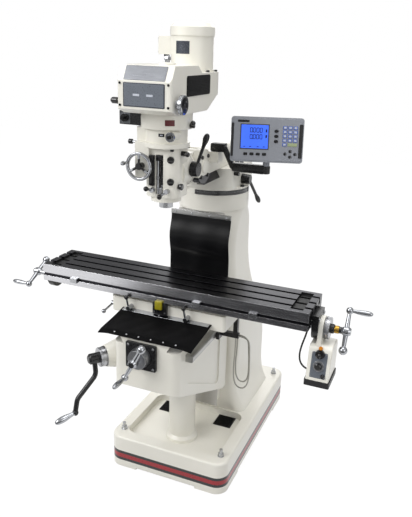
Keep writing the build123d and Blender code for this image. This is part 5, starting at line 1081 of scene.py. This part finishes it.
class MILL_OT_dials(bpy.types.Operator):
    """Marks and knurls on the feed dials, and the screws beside them"""

    bl_idname = "mill.dials"
    bl_label = "Dials"

    def execute(self, context):
        self.rings(context.scene.mill_sizes.dial_marks)
        self.lead_end()
        self.screws()
        return {"FINISHED"}

    def rings(self, count):
        """Marks round each dial, and a knurl round its grip: start along the axis, radius, depth, length."""
        shaft, dial_out = Vector((-0.6046, -0.7965, 0)), 392.3
        lift = Vector((0, -300, 662.5)) + shaft * dial_out
        cross = Vector((-12, -702.3, 754))
        lead = Vector((0, LEAD_Y, LEAD_Z))
        mark_length, knurl_count, knurl_width = 5, 72, 1.7
        for name, body, origin, axis, ring, knurl in (
                ("lift", "elevating_crank", lift, shaft, (2, 44.3, 1.4), (19, 42.6, 1.2, 9)),
                ("cross", "cross_screw", cross, FRONT, (2, 44.9, 1.8), (24, 41.0, 1.6, 9)),
                ("lead", "lead_screw", lead, RIGHT, (672.5, 44.7, 1.2), (683, 44.9, 1.2, 6)),
                ("left", "lead_screw", lead, LEFT, (652, 36.7, 1.2), None)):
            start, radius, depth = ring
            marks(name + "_dial_marks", origin + Vector(axis) * start, axis, "phenolic", body,
                  radius=radius, count=count, length=mark_length, depth=depth)
            if knurl:
                start, radius, depth, length = knurl
                marks(name + "_dial_knurl", origin + Vector(axis) * start, axis, "bright_steel", body,
                      radius=radius, count=knurl_count, length=length, width=knurl_width,
                      depth=depth, longer=0.0)

    def lead_end(self):
        """Nut, brass sleeve and collar between the right dial and its crank."""
        bore = 12.2
        nut = [(0, bore), (0, 19), (14, 19), (16, 17), (16, bore)]
        Shape().turned((691, LEAD_Y, LEAD_Z), RIGHT, nut).done("lead_nut", "phenolic", "lead_screw",
                                                               "black_plastic")
        marks("lead_nut_knurl", (693, LEAD_Y, LEAD_Z), RIGHT, "phenolic", "lead_screw",
              radius=19, count=40, length=10, width=1.5, depth=1.2, longer=0.0)
        sleeve = [(0, bore), (0, 15.5), (1, 16), (17, 16), (18, 15.5), (18, bore)]
        Shape().turned((707.2, LEAD_Y, LEAD_Z), RIGHT, sleeve).done("lead_sleeve", "brass", "lead_screw",
                                                                    "bright_steel")
        collar = [(0, bore), (0, 14), (8.5, 14), (9.5, 13), (9.5, bore)]
        Shape().turned((725.4, LEAD_Y, LEAD_Z), RIGHT, collar).done("lead_collar", "phenolic", "lead_screw",
                                                                    "black_plastic")

    def screws(self):
        """Screws of the cross-feed plate and of the brackets at the table's ends."""
        plate_x, plate_front, plate_z, plate_over, plate_up = -12, -702, 754, 57, 46
        places = [(plate_x + sx * plate_over, plate_front, plate_z + sz * plate_up)
                  for sx in SIDES for sz in SIDES]
        heads("plate_screws", places, FRONT, "bright_steel", "knee", "bright_steel", radius=5.5, height=4,
              sides=18)
        bracket_face, bracket_over, bracket_z = 650, 44, 946
        places = [(side * bracket_face, LEAD_Y + sy * bracket_over, bracket_z)
                  for side in SIDES for sy in SIDES]
        heads("bracket_screws", places, [LEFT, LEFT, RIGHT, RIGHT], "bright_steel", "table", "bright_steel",
              radius=7, height=5, sides=18)


class MILL_OT_travel_switch(bpy.types.Operator):
    """Travel switch on the front of the saddle"""

    bl_idname = "mill.travel_switch"
    bl_label = "Travel switch"

    def execute(self, context):
        bracket_front, body_front = -508.8, -520.5
        bracket = Shape().block(low=(-58, bracket_front, 860), high=(8, -490.2, 914), edge=1.5)
        bracket.done("switch_bracket", "black_enamel", "saddle", "black_paint")
        body = Shape().block(low=(-42, body_front, 888), high=(-10, bracket_front - 0.1, 926), edge=2.0)
        body.turned((-26, body_front, 918), FRONT, [(0, 5), (2, 5), (3, 4)], steps=20)
        body.done("switch_body", "yellow_abs", "saddle", "black_plastic")
        places = [(x, bracket_front, 872) for x in (-50, 0)]
        heads("switch_screws", places, FRONT, "bright_steel", "saddle", "bright_steel", radius=3.6,
              height=2.4, sides=14)
        return {"FINISHED"}


class MILL_OT_power_feed(bpy.types.Operator):
    """Panel, ring, button and small knob on the power feed"""

    bl_idname = "mill.power_feed"
    bl_label = "Power feed"

    def execute(self, context):
        slope = Vector((0, 30, 143)).normalized()
        out = Vector((0, -slope.z, slope.y))
        foot = Vector((671.5, -486, 701))
        panel_rise, knob_rise, panel_thick = 66, 62, 0.28

        def spot(over, rise, stand=0.0):
            return facing(foot + Vector(RIGHT) * over + slope * rise + out * stand, RIGHT, out)

        panel = Shape().plate(spot(0, panel_rise), width=64, height=108, thickness=panel_thick, corner=5,
                              edge=0.1)
        panel.done("feed_panel", "grey_plate", "table", "grey_plastic")
        ring = Shape().turned(spot(0, knob_rise, panel_thick).translation, out,
                              [(0, 16.6), (0, 23), (1.2, 22.4), (1.2, 16.6)])
        ring.done("feed_ring", "satin_chrome", "table", "bright_steel")
        marks("feed_ring_marks", spot(0, knob_rise, 1.2).translation, out, "phenolic", "table",
              radius=20.2, count=11, length=0.5, width=1.0, depth=3.2, longer=0.0,
              start=-60, sweep=300)
        button = Shape().turned(spot(0, 137).translation, out, [(0, 8), (4, 8), (6, 6.5), (6.6, 3)],
                                steps=24)
        button.done("feed_button", "orange_abs", "table", "black_plastic")
        knob = Shape().turned(spot(22, 24, 0.3).translation, out, [(0, 9), (8, 8.4), (10, 6.5)], steps=24)
        knob.done("feed_small_knob", "phenolic", "table", "black_plastic")
        places = [spot(sx * 28, rise, panel_thick).translation for sx in SIDES for rise in (17, 115)]
        heads("feed_panel_screws", places, tuple(out), "bright_steel", "table", "bright_steel", radius=3,
              height=1.6, sides=14)
        return {"FINISHED"}


class MILL_OT_turret_parts(bpy.types.Operator):
    """Degree ring and bolts of the turret, and bolts of the ram and its adapter"""

    bl_idname = "mill.turret_parts"
    bl_label = "Turret"

    def execute(self, context):
        self.turret()
        self.pivot()
        self.ram_end()
        return {"FINISHED"}

    def turret(self):
        """Degree ring round the turret's front, and the bolts on its flange."""
        ring = Shape().wrap(TURRET_LINE, 168.05, start=-100, end=12, low=1320, high=1342, thickness=0.7,
                            steps=60)
        ring.done("degree_ring", "phenolic", "turret", "black_plastic")
        marks("degree_marks", (*TURRET_LINE, 1330), UP, "satin_chrome", "turret",
              radius=168.8, count=37, length=5, width=0.9, depth=0.5, every=5, longer=0.8, start=-98,
              sweep=108)
        bolt_x, bolt_y, flange_top = 155, 38, 1349.3
        places = [(sx * bolt_x, TURRET_LINE[1] + sy * bolt_y, flange_top) for sx in SIDES for sy in SIDES]
        heads("turret_bolts", places, UP, "black_enamel", "turret", "black_paint", radius=10, height=9)

    def pivot(self):
        """Caps and bolts of the ram's fork, and nuts and degree marks of the adapter."""
        fork_half, cap_outline = 89, [(0, 27), (3, 27), (5, 24), (5, 0.5)]
        caps = Shape()
        for side in SIDES:
            caps.turned((side * (fork_half + 0.1), NOD_Y, NOD_Z), (side, 0, 0), cap_outline)
        caps.done("pivot_caps", "cream_enamel", "ram", "cream_paint")
        bolt_circle, nut_circle, nut_face, marks_start = 52, 68, -400, -417
        places = [(side * fork_half, NOD_Y + bolt_circle * math.cos(a), NOD_Z + bolt_circle * math.sin(a))
                  for side in SIDES for a in (0.9, 2.2, 4.0, 5.4)]
        heads("pivot_bolts", places, [LEFT] * 4 + [RIGHT] * 4, "black_enamel", "ram", "black_paint",
              radius=8.5, height=7)
        places = [(nut_circle * math.cos(a), nut_face, NOD_Z + nut_circle * math.sin(a))
                  for a in (0.5, 2.64, 3.64, 5.78)]
        heads("adapter_nuts", places, BACK, "black_enamel", "adapter", "black_paint", radius=8.5, height=8)
        marks("tilt_marks", (0, marks_start, NOD_Z), BACK, "phenolic", "adapter", radius=82,
              count=91, length=4.5, width=0.8, depth=0.8, start=-90, sweep=180)

    def ram_end(self):
        """Cover on the rear end of the ram, with its screws."""
        middle_z, rear, thick, screw_x, screw_z = 1487, 330.2, 4, 60, 36
        cover = Shape().plate(facing((0, rear, middle_z), LEFT, BACK), width=140, height=90, thickness=thick,
                              corner=16, edge=1.2)
        cover.done("ram_end_cover", "black_enamel", "ram", "black_paint")
        places = [(sx * screw_x, rear + thick, middle_z + sz * screw_z) for sx in SIDES for sz in SIDES]
        heads("ram_end_screws", places, BACK, "bright_steel", "ram", "bright_steel", radius=4, height=3,
              sides=16)


class MILL_OT_head_parts(bpy.types.Operator):
    """Quill stop, trip bar, knobs, nuts, small plates and drawbar nut of the head"""

    bl_idname = "mill.head_parts"
    bl_label = "Head"

    def execute(self, context):
        self.quill_stop()
        self.knobs()
        self.plates()
        self.drawbar()
        return {"FINISHED"}

    def quill_stop(self):
        """Stop screw with its nut, the block and track that hold it, its sleeve, and the trip bar."""
        stop_x, stop_y = -9, -557.5
        screw = Shape().turned((stop_x, stop_y, 1406), UP, [(0, 4), (152, 4)], steps=20)
        screw.done("stop_screw", "polished_chrome", "head", "chrome")
        nut_outline = [(0, 5.6), (1, 6.4), (14, 6.4), (15, 5.6), (15, 4.1)]
        nut = Shape().turned((stop_x, stop_y, 1462), UP, nut_outline, steps=28)
        nut.done("stop_nut", "satin_chrome", "head", "bright_steel")
        marks("stop_nut_knurl", (stop_x, stop_y, 1464), UP, "bright_steel", "head",
              radius=6.4, count=26, length=11, width=1.0, depth=0.7, longer=0.0)
        block = Shape().block(low=(-14, -567, 1537), high=(14, -549.5, 1559), edge=1.5)
        block.done("stop_block", "black_enamel", "head", "black_paint")
        track = Shape().block(low=(1, -558, 1442), high=(14.5, -549.5, 1538), edge=1)
        track.done("stop_track", "black_enamel", "head", "black_paint")
        sleeve_outline = [(0, 8.5), (4, 8.5), (5, 7.6), (24, 7.6), (26, 6)]
        sleeve = Shape().turned((3, -556.5, 1407), UP, sleeve_outline, steps=28)
        sleeve.done("stop_sleeve", "satin_chrome", "head", "bright_steel")
        bar = Shape().block(low=(-39, -582, 1440), high=(-19, -565.1, 1560), edge=2)
        bar.block(low=(-42, -590, 1476), high=(-18, -578, 1500), edge=2)
        bar.done("trip_bar", "black_enamel", "head", "black_paint")

    def knobs(self):
        """Knobs on the front and the side of the head, and the nuts under its gear housing."""
        knob_outline = [(0, 9), (6, 9), (8, 13.5), (17, 14), (20, 11), (20.6, 6)]
        knobs = Shape()
        for z in (1547, 1462):
            knobs.turned((49, -560.5, z), (0.25, -0.97, 0), knob_outline, steps=28)
        knobs.done("head_knobs", "phenolic", "head", "black_plastic")
        side_outline = [(0, 10), (5, 10), (7, 13), (14, 13), (17, 10)]
        side_knob = Shape().turned((72, -540, 1440), RIGHT, side_outline, steps=28)
        side_knob.done("side_knob", "phenolic", "head", "black_plastic")
        x, y = SPINDLE_LINE
        nut_circle, nut_top = 85, 1588.2
        places = [(x + nut_circle * math.cos(a), y + nut_circle * math.sin(a), nut_top)
                  for a in (-0.87, -2.27, 0.6, 2.54)]
        heads("head_nuts", places, DOWN, "black_enamel", "head", "black_paint", radius=8, height=9)

    def plates(self):
        """Plates bent round the head, the drum switch's plate, and the knurl of the speed wheel."""
        label = Shape().wrap(SPINDLE_LINE, 100.05, start=-68, end=-47, low=1676, high=1698, thickness=0.6,
                             steps=14)
        label.done("gear_plate", "maroon_plate", "head", "black_paint")
        tab = Shape().wrap(SPINDLE_LINE, 82.05, start=-86, end=-70, low=1633, high=1645, thickness=0.6,
                           steps=12)
        tab.done("rate_plate", "black_vinyl", "head", "black_paint")
        pane = Shape().wrap(SPINDLE_LINE, 82.3, start=-82, end=-74, low=1637.4, high=1640.6, thickness=0.6,
                            steps=6)
        pane.done("rate_window", "pale_key", "head", "bright_steel")
        switch = Shape().plate(facing((-152.8, -559.05, 1691.3), RIGHT, FRONT), width=46, height=44,
                               thickness=0.22, corner=3, edge=0.08)
        switch.done("switch_plate", "brushed_plate", "head", "bright_steel")
        marks("speed_wheel_knurl", (128, *SPEED_HUB[1:]), RIGHT, "polished_chrome", "speed_wheel",
              radius=34, count=48, length=12, width=2.4, depth=1.4, longer=0.0)

    def drawbar(self):
        """Nut on top of the spindle, and the seat round it."""
        nut_outline = [(0, 9.05), (0, 14), (10, 14), (13, 12), (13, 9.05)]
        nut = Shape().turned((*SPINDLE_LINE, 1908), UP, nut_outline, steps=6)
        nut.done("drawbar_nut", "bright_steel", "spindle", "bright_steel")
        seat_outline = [(0, 32), (5, 32), (8, 27), (8, 24.5), (0, 24.5)]
        seat = Shape().turned((*SPINDLE_LINE, 1892.1), UP, seat_outline)
        seat.done("drawbar_seat", "cream_enamel", "head", "cream_paint")


class MILL_OT_drive_parts(bpy.types.Operator):
    """Plates and vents of the belt housing, and the motor's plate and box"""

    bl_idname = "mill.drive_parts"
    bl_label = "Belt housing and motor"

    def execute(self, context):
        self.front_plates()
        for side, tag in zip(SIDES, ("left", "right")):
            self.vent(side, tag)
        self.motor()
        return {"FINISHED"}

    def front_plates(self):
        """Speed plate with two windows on the housing's front, its screws, and the plate on the slope."""
        front, middle_z, slope_foot = -692.0, 1790, 1838
        rim = Shape().plate(facing((0, front - 0.05, middle_z), RIGHT, FRONT), width=166, height=84,
                            thickness=1.6, corner=4, edge=0.5)
        rim.done("speed_plate_rim", "slate_plate", "head", "black_paint")
        plate = Shape().plate(facing((0, front - 1.6, middle_z), RIGHT, FRONT), width=158, height=77,
                              thickness=0.8, corner=2, edge=0.2)
        plate.done("speed_plate", "grey_plate", "head", "grey_plastic")
        windows = Shape()
        for x in (-30, 24):
            windows.plate(facing((x, front - 2.4, middle_z), RIGHT, FRONT), width=26, height=8,
                          thickness=0.3, corner=1, edge=0.1)
        windows.done("speed_windows", "pale_key", "head", "grey_plastic")
        screw_x, screw_heights = 97, (1752, 1829)
        places = [(sx * screw_x, front, z) for sx in SIDES for z in screw_heights]
        heads("front_screws", places, FRONT, "phenolic", "head", "black_plastic", radius=4.6, height=3.4,
              sides=18)
        slope = Vector((0, 30, 54))
        middle = Vector((0, front, slope_foot)) + slope / 2
        bare = Shape().plate(facing(middle, RIGHT, (0, -slope.z, slope.y)), width=166, height=56,
                             thickness=1.4, corner=3, edge=0.5)
        bare.done("bare_plate", "brushed_plate", "head", "bright_steel")

    def vent(self, side, tag):
        """Dark panel with level bars on one side of the housing: the dark panel is painted shade inside the
        louvres.
        """
        y, z, panel_foot, bars_foot = -455, 1820, 109.05, 111.2
        right, out = (0, side, 0), (side, 0, 0)
        panel = Shape().plate(facing((side * panel_foot, y, z), right, out), width=222, height=74,
                              thickness=2.2, corner=9, edge=0.8)
        panel.done("vent_" + tag, "dark_gauze_and_painted_shade", "head", "black_paint")
        bars = facing((side * bars_foot, y, z), right, out)
        rows("vent_bars_" + tag, bars, "dark_gauze_and_painted_shade", "head", columns=1, lines=11,
             pitch=(1, 6), size=(206, 2.4, 1.4))

    def motor(self):
        """Rating plate, terminal lid with its screws and gland, and the bolts of the motor's foot."""
        x, y = MOTOR_LINE
        rating = Shape().wrap(MOTOR_LINE, 86.55, start=-114, end=-74, low=1930, high=1978, thickness=0.7,
                              steps=24)
        rating.done("rating_plate", "slate_plate", "head", "black_paint")
        box_face, box_z, lid_thick, screw_y, screw_z = -130.5, 1960, 3, 36, 26
        lid = Shape().plate(facing((box_face, y, box_z), FRONT, LEFT), width=86, height=66,
                            thickness=lid_thick, corner=5, edge=1.2)
        lid.done("terminal_lid", "cream_enamel", "head", "cream_paint")
        places = [(box_face - lid_thick, y + sy * screw_y, box_z + sz * screw_z)
                  for sy in SIDES for sz in SIDES]
        heads("terminal_screws", places, LEFT, "bright_steel", "head", "bright_steel", radius=3.6,
              height=2.4, sides=16)
        gland_x, gland_y = -104, -300
        gland = Shape().turned((gland_x, gland_y, 1924.9), DOWN, [(0, 12), (6, 12)], steps=6)
        gland.turned((gland_x, gland_y, 1919), DOWN, [(0, 10), (10, 10), (13, 6)], steps=24)
        gland.done("terminal_gland", "phenolic", "head", "black_plastic")
        bolt_circle, foot_top = 98, 1864
        places = [(x + bolt_circle * math.cos(a), y + bolt_circle * math.sin(a), foot_top)
                  for a in (0.5, 2.64, -0.45, 3.6)]
        heads("motor_bolts", places, UP, "black_enamel", "head", "black_paint", radius=7, height=7)


# Display: middle of its case, half the case's depth, and how it is turned, in degrees
DISPLAY_MIDDLE, DISPLAY_HALF = (335, -272, 1610), 29.0
DISPLAY_YAW, DISPLAY_TILT = 20, 10
# Heights on the display's front: face of its panel, foot and face of its glass. Middle of its screen
PANEL_FACE, GLASS_FOOT, GLASS_FACE = 1.6, 2.6, 3.1
SCREEN_X, SCREEN_Y = -50, 11


def display_axes():
    """Right, up and outward directions of the display's front."""
    yaw, tilt = math.radians(DISPLAY_YAW), math.radians(DISPLAY_TILT)
    flat = Vector((math.sin(yaw), -math.cos(yaw), 0))
    out = flat * math.cos(tilt) + Vector((0, 0, math.sin(tilt)))
    right = Vector((math.cos(yaw), math.sin(yaw), 0))
    return right, out.cross(right), out


def display_spot(x, y, stand=0.0):
    """Placement on the display's front: right, up and out from its middle."""
    right, up, out = display_axes()
    return facing(Vector(DISPLAY_MIDDLE) + right * x + up * y + out * (DISPLAY_HALF + stand), right, out)


class MILL_OT_display_parts(bpy.types.Operator):
    """Screen, figures and keys of the display"""

    bl_idname = "mill.display_parts"
    bl_label = "Display"

    def execute(self, context):
        sizes = context.scene.mill_sizes
        self.front()
        self.screen(sizes.screen_wide / MM, sizes.screen_high / MM)
        self.black_keys()
        self.key_pad()
        self.back()
        self.arm()
        return {"FINISHED"}

    def front(self):
        """Front panel with rubber ends."""
        panel = Shape().plate(display_spot(0, 0), width=276, height=166, thickness=PANEL_FACE, corner=9,
                              edge=0.8)
        panel.done("display_front", "grey_abs", "display", "grey_plastic")
        ends = Shape()
        for x, width in ((-138, 9), (134, 14)):
            ends.plate(display_spot(x, -2, 1.0), width, height=132, thickness=3.2, corner=3, edge=1.2)
        ends.done("display_ends", "soft_rubber", "display", "black_plastic")

    def screen(self, wide, high):
        """Lit screen in its frame, with two rows of figures and small marks beside and below them."""
        border = 4
        surround = Shape().plate(display_spot(SCREEN_X, SCREEN_Y, PANEL_FACE), wide + 2 * border,
                                 high + 2 * border, thickness=1.0, corner=2, edge=0.4)
        surround.done("screen_frame", "slate_plate", "display", "grey_plastic")
        glass = Shape().plate(display_spot(SCREEN_X, SCREEN_Y, GLASS_FOOT), wide, high, thickness=0.5,
                              corner=1, edge=0.2)
        glass.done("screen", "lit_screen", "display", "grey_plastic")
        ink = Shape()
        for y in (37, 11):
            self.zeros(ink, y)
        for x in (-90, -66, -36, -12):
            self.ink_bar(ink, x, y=-28, width=8, height=3, corner=0.6)
        for y in (35, 13):
            self.ink_bar(ink, -4, y, width=6, height=12, corner=0.6)
        ink.done("screen_figures", "screen_ink", "display", "black_plastic")

    def ink_bar(self, shape, x, y, width, height, corner):
        """One bar of ink on the glass."""
        shape.plate(display_spot(x, y, GLASS_FACE), width, height, thickness=0.2, corner=corner, edge=0.05)

    def zeros(self, shape, y):
        """The figures 0.000 in one row, each nought of six bars."""
        tall, wide, bar, step, first, gap = 17.0, 8.5, 2.4, 13.0, -64, 0.6
        for x in (first + step * i for i in range(4)):
            for rise in (tall / 2, -tall / 2):
                self.ink_bar(shape, x, y + rise, wide, bar, corner=0.4)
            for over in (wide / 2, -wide / 2):
                for rise in (tall / 4, -tall / 4):
                    self.ink_bar(shape, x + over, y + rise, bar, tall / 2 - gap, corner=0.4)
        self.ink_bar(shape, first + step / 2, y - tall / 2, bar, bar, corner=0.3)

    def black_keys(self):
        """Bare strip over the screen, and the black keys below and beside it."""
        strip = Shape().plate(display_spot(-96, 71, PANEL_FACE), width=46, height=9, thickness=0.5,
                              corner=1, edge=0.2)
        strip.done("display_strip", "black_vinyl", "display", "black_plastic")
        keys = Shape()
        for i in range(4):
            keys.plate(display_spot(-84 + 25 * i, -57, PANEL_FACE), width=17, height=11, thickness=2.2,
                       corner=4, edge=0.9)
        for i in range(3):
            keys.plate(display_spot(36, 35 - 20 * i, PANEL_FACE), width=17, height=12, thickness=2.2,
                       corner=5.5, edge=0.9)
        keys.done("soft_keys", "phenolic", "display", "black_plastic")

    def key_pad(self):
        """Number keys in rows, one key and a wide one under them, and four round keys."""
        pad_x, pad_y, last_y, pitch = 91, 24.75, -16.5, (21, 16.5)
        rim_wide, rim_high, cap_wide, cap_high = 16.5, 12.5, 10.5, 7.5
        rows("key_rims", display_spot(pad_x, pad_y, PANEL_FACE), "blue_key", "display",
             columns=3, lines=4, pitch=pitch, size=(rim_wide, rim_high, 1.4))
        rows("key_caps", display_spot(pad_x, pad_y, 2.9), "pale_key", "display", columns=3,
             lines=4, pitch=pitch, size=(cap_wide, cap_high, 0.8))
        last_x = pad_x - pitch[0]
        rim = Shape().plate(display_spot(last_x, last_y, PANEL_FACE), rim_wide, rim_high, thickness=1.4,
                            corner=2, edge=0.5)
        rim.done("key_rim_last", "blue_key", "display", "black_plastic")
        cap = Shape().plate(display_spot(last_x, last_y, 3.0), cap_wide, cap_high, thickness=0.7, corner=1,
                            edge=0.3)
        cap.done("key_cap_last", "pale_key", "display", "grey_plastic")
        wide_key = Shape().plate(display_spot(pad_x + pitch[0] / 2, last_y, PANEL_FACE), pitch[0] + rim_wide,
                                 rim_high, thickness=2.0, corner=4, edge=0.7)
        wide_key.done("wide_key", "green_key", "display", "grey_plastic")
        out = display_axes()[2]
        round_keys = ((94, -42), (74, -53), (114, -53), (94, -64))
        places = [display_spot(x, y, PANEL_FACE).translation for x, y in round_keys]
        heads("round_keys", places, tuple(out), "phenolic", "display", "black_plastic", radius=6.2,
              height=2.4, sides=24, crown=0.8)

    def back(self):
        """Rear panel with upright slats."""
        right, up, out = display_axes()
        middle = Vector(DISPLAY_MIDDLE)
        panel = Shape().plate(facing(middle - out * DISPLAY_HALF, -right, -out), width=250, height=140,
                              thickness=2.5, corner=8, edge=1.0)
        panel.done("display_back", "soft_rubber", "display", "black_plastic")
        slats_stand, slats_up = 2.4, 36
        slats = facing(middle - out * (DISPLAY_HALF + slats_stand) + up * slats_up, -right, -out)
        rows("display_slats", slats, "dark_gauze_and_painted_shade", "display", columns=24, lines=1,
             pitch=(8, 1), size=(3, 34, 1.2))

    def arm(self):
        """Blocks at both ends of the display's arm, and the collar under the display."""
        blocks = Shape().block(low=(90, -272, 1543.5), high=(152, -230, 1578), edge=4)
        blocks.block(low=(196, -294, 1472), high=(338, -258, 1508), edge=6)
        blocks.done("arm_blocks", "black_enamel", "display_arm", "black_paint")
        collar = Shape().turned((341, -276, 1474), UP, [(0, 15), (2, 17.3), (31.8, 17.3), (31.9, 12)])
        collar.done("arm_collar", "black_enamel", "display_arm", "black_paint")


class MILL_PT_pieces(bpy.types.Panel):
    """Steps that dress the milling machine"""

    bl_label = "Milling machine"
    bl_space_type = "VIEW_3D"
    bl_region_type = "UI"
    bl_category = "Mill"

    def draw(self, context):
        for step in STEPS:
            self.layout.operator(step.bl_idname)
        for group in (context.scene.mill_colours, context.scene.mill_sizes):
            for name in group.__annotations__:
                self.layout.prop(group, name)


STEPS = (MILL_OT_stage, MILL_OT_leads, MILL_OT_finishes, MILL_OT_covers, MILL_OT_base_parts, MILL_OT_dials,
         MILL_OT_travel_switch, MILL_OT_power_feed, MILL_OT_turret_parts, MILL_OT_head_parts,
         MILL_OT_drive_parts, MILL_OT_display_parts)
CLASSES = (MillColours, MillSizes, *STEPS, MILL_PT_pieces)


def register():
    """Adds the classes and their settings."""
    for each in CLASSES:
        bpy.utils.register_class(each)
    bpy.types.Scene.mill_colours = bpy.props.PointerProperty(type=MillColours)
    bpy.types.Scene.mill_sizes = bpy.props.PointerProperty(type=MillSizes)


def unregister():
    """Takes them away again."""
    del bpy.types.Scene.mill_colours
    del bpy.types.Scene.mill_sizes
    for each in reversed(CLASSES):
        bpy.utils.unregister_class(each)


def main():
    """Builds the whole machine."""
    register()
    for make in (stud_tree, mark_tree, row_tree, armour_tree):
        make()
    for step in STEPS:
        group, name = step.bl_idname.split(".")
        getattr(getattr(bpy.ops, group), name)()


if __name__ == "__main__":
    main()
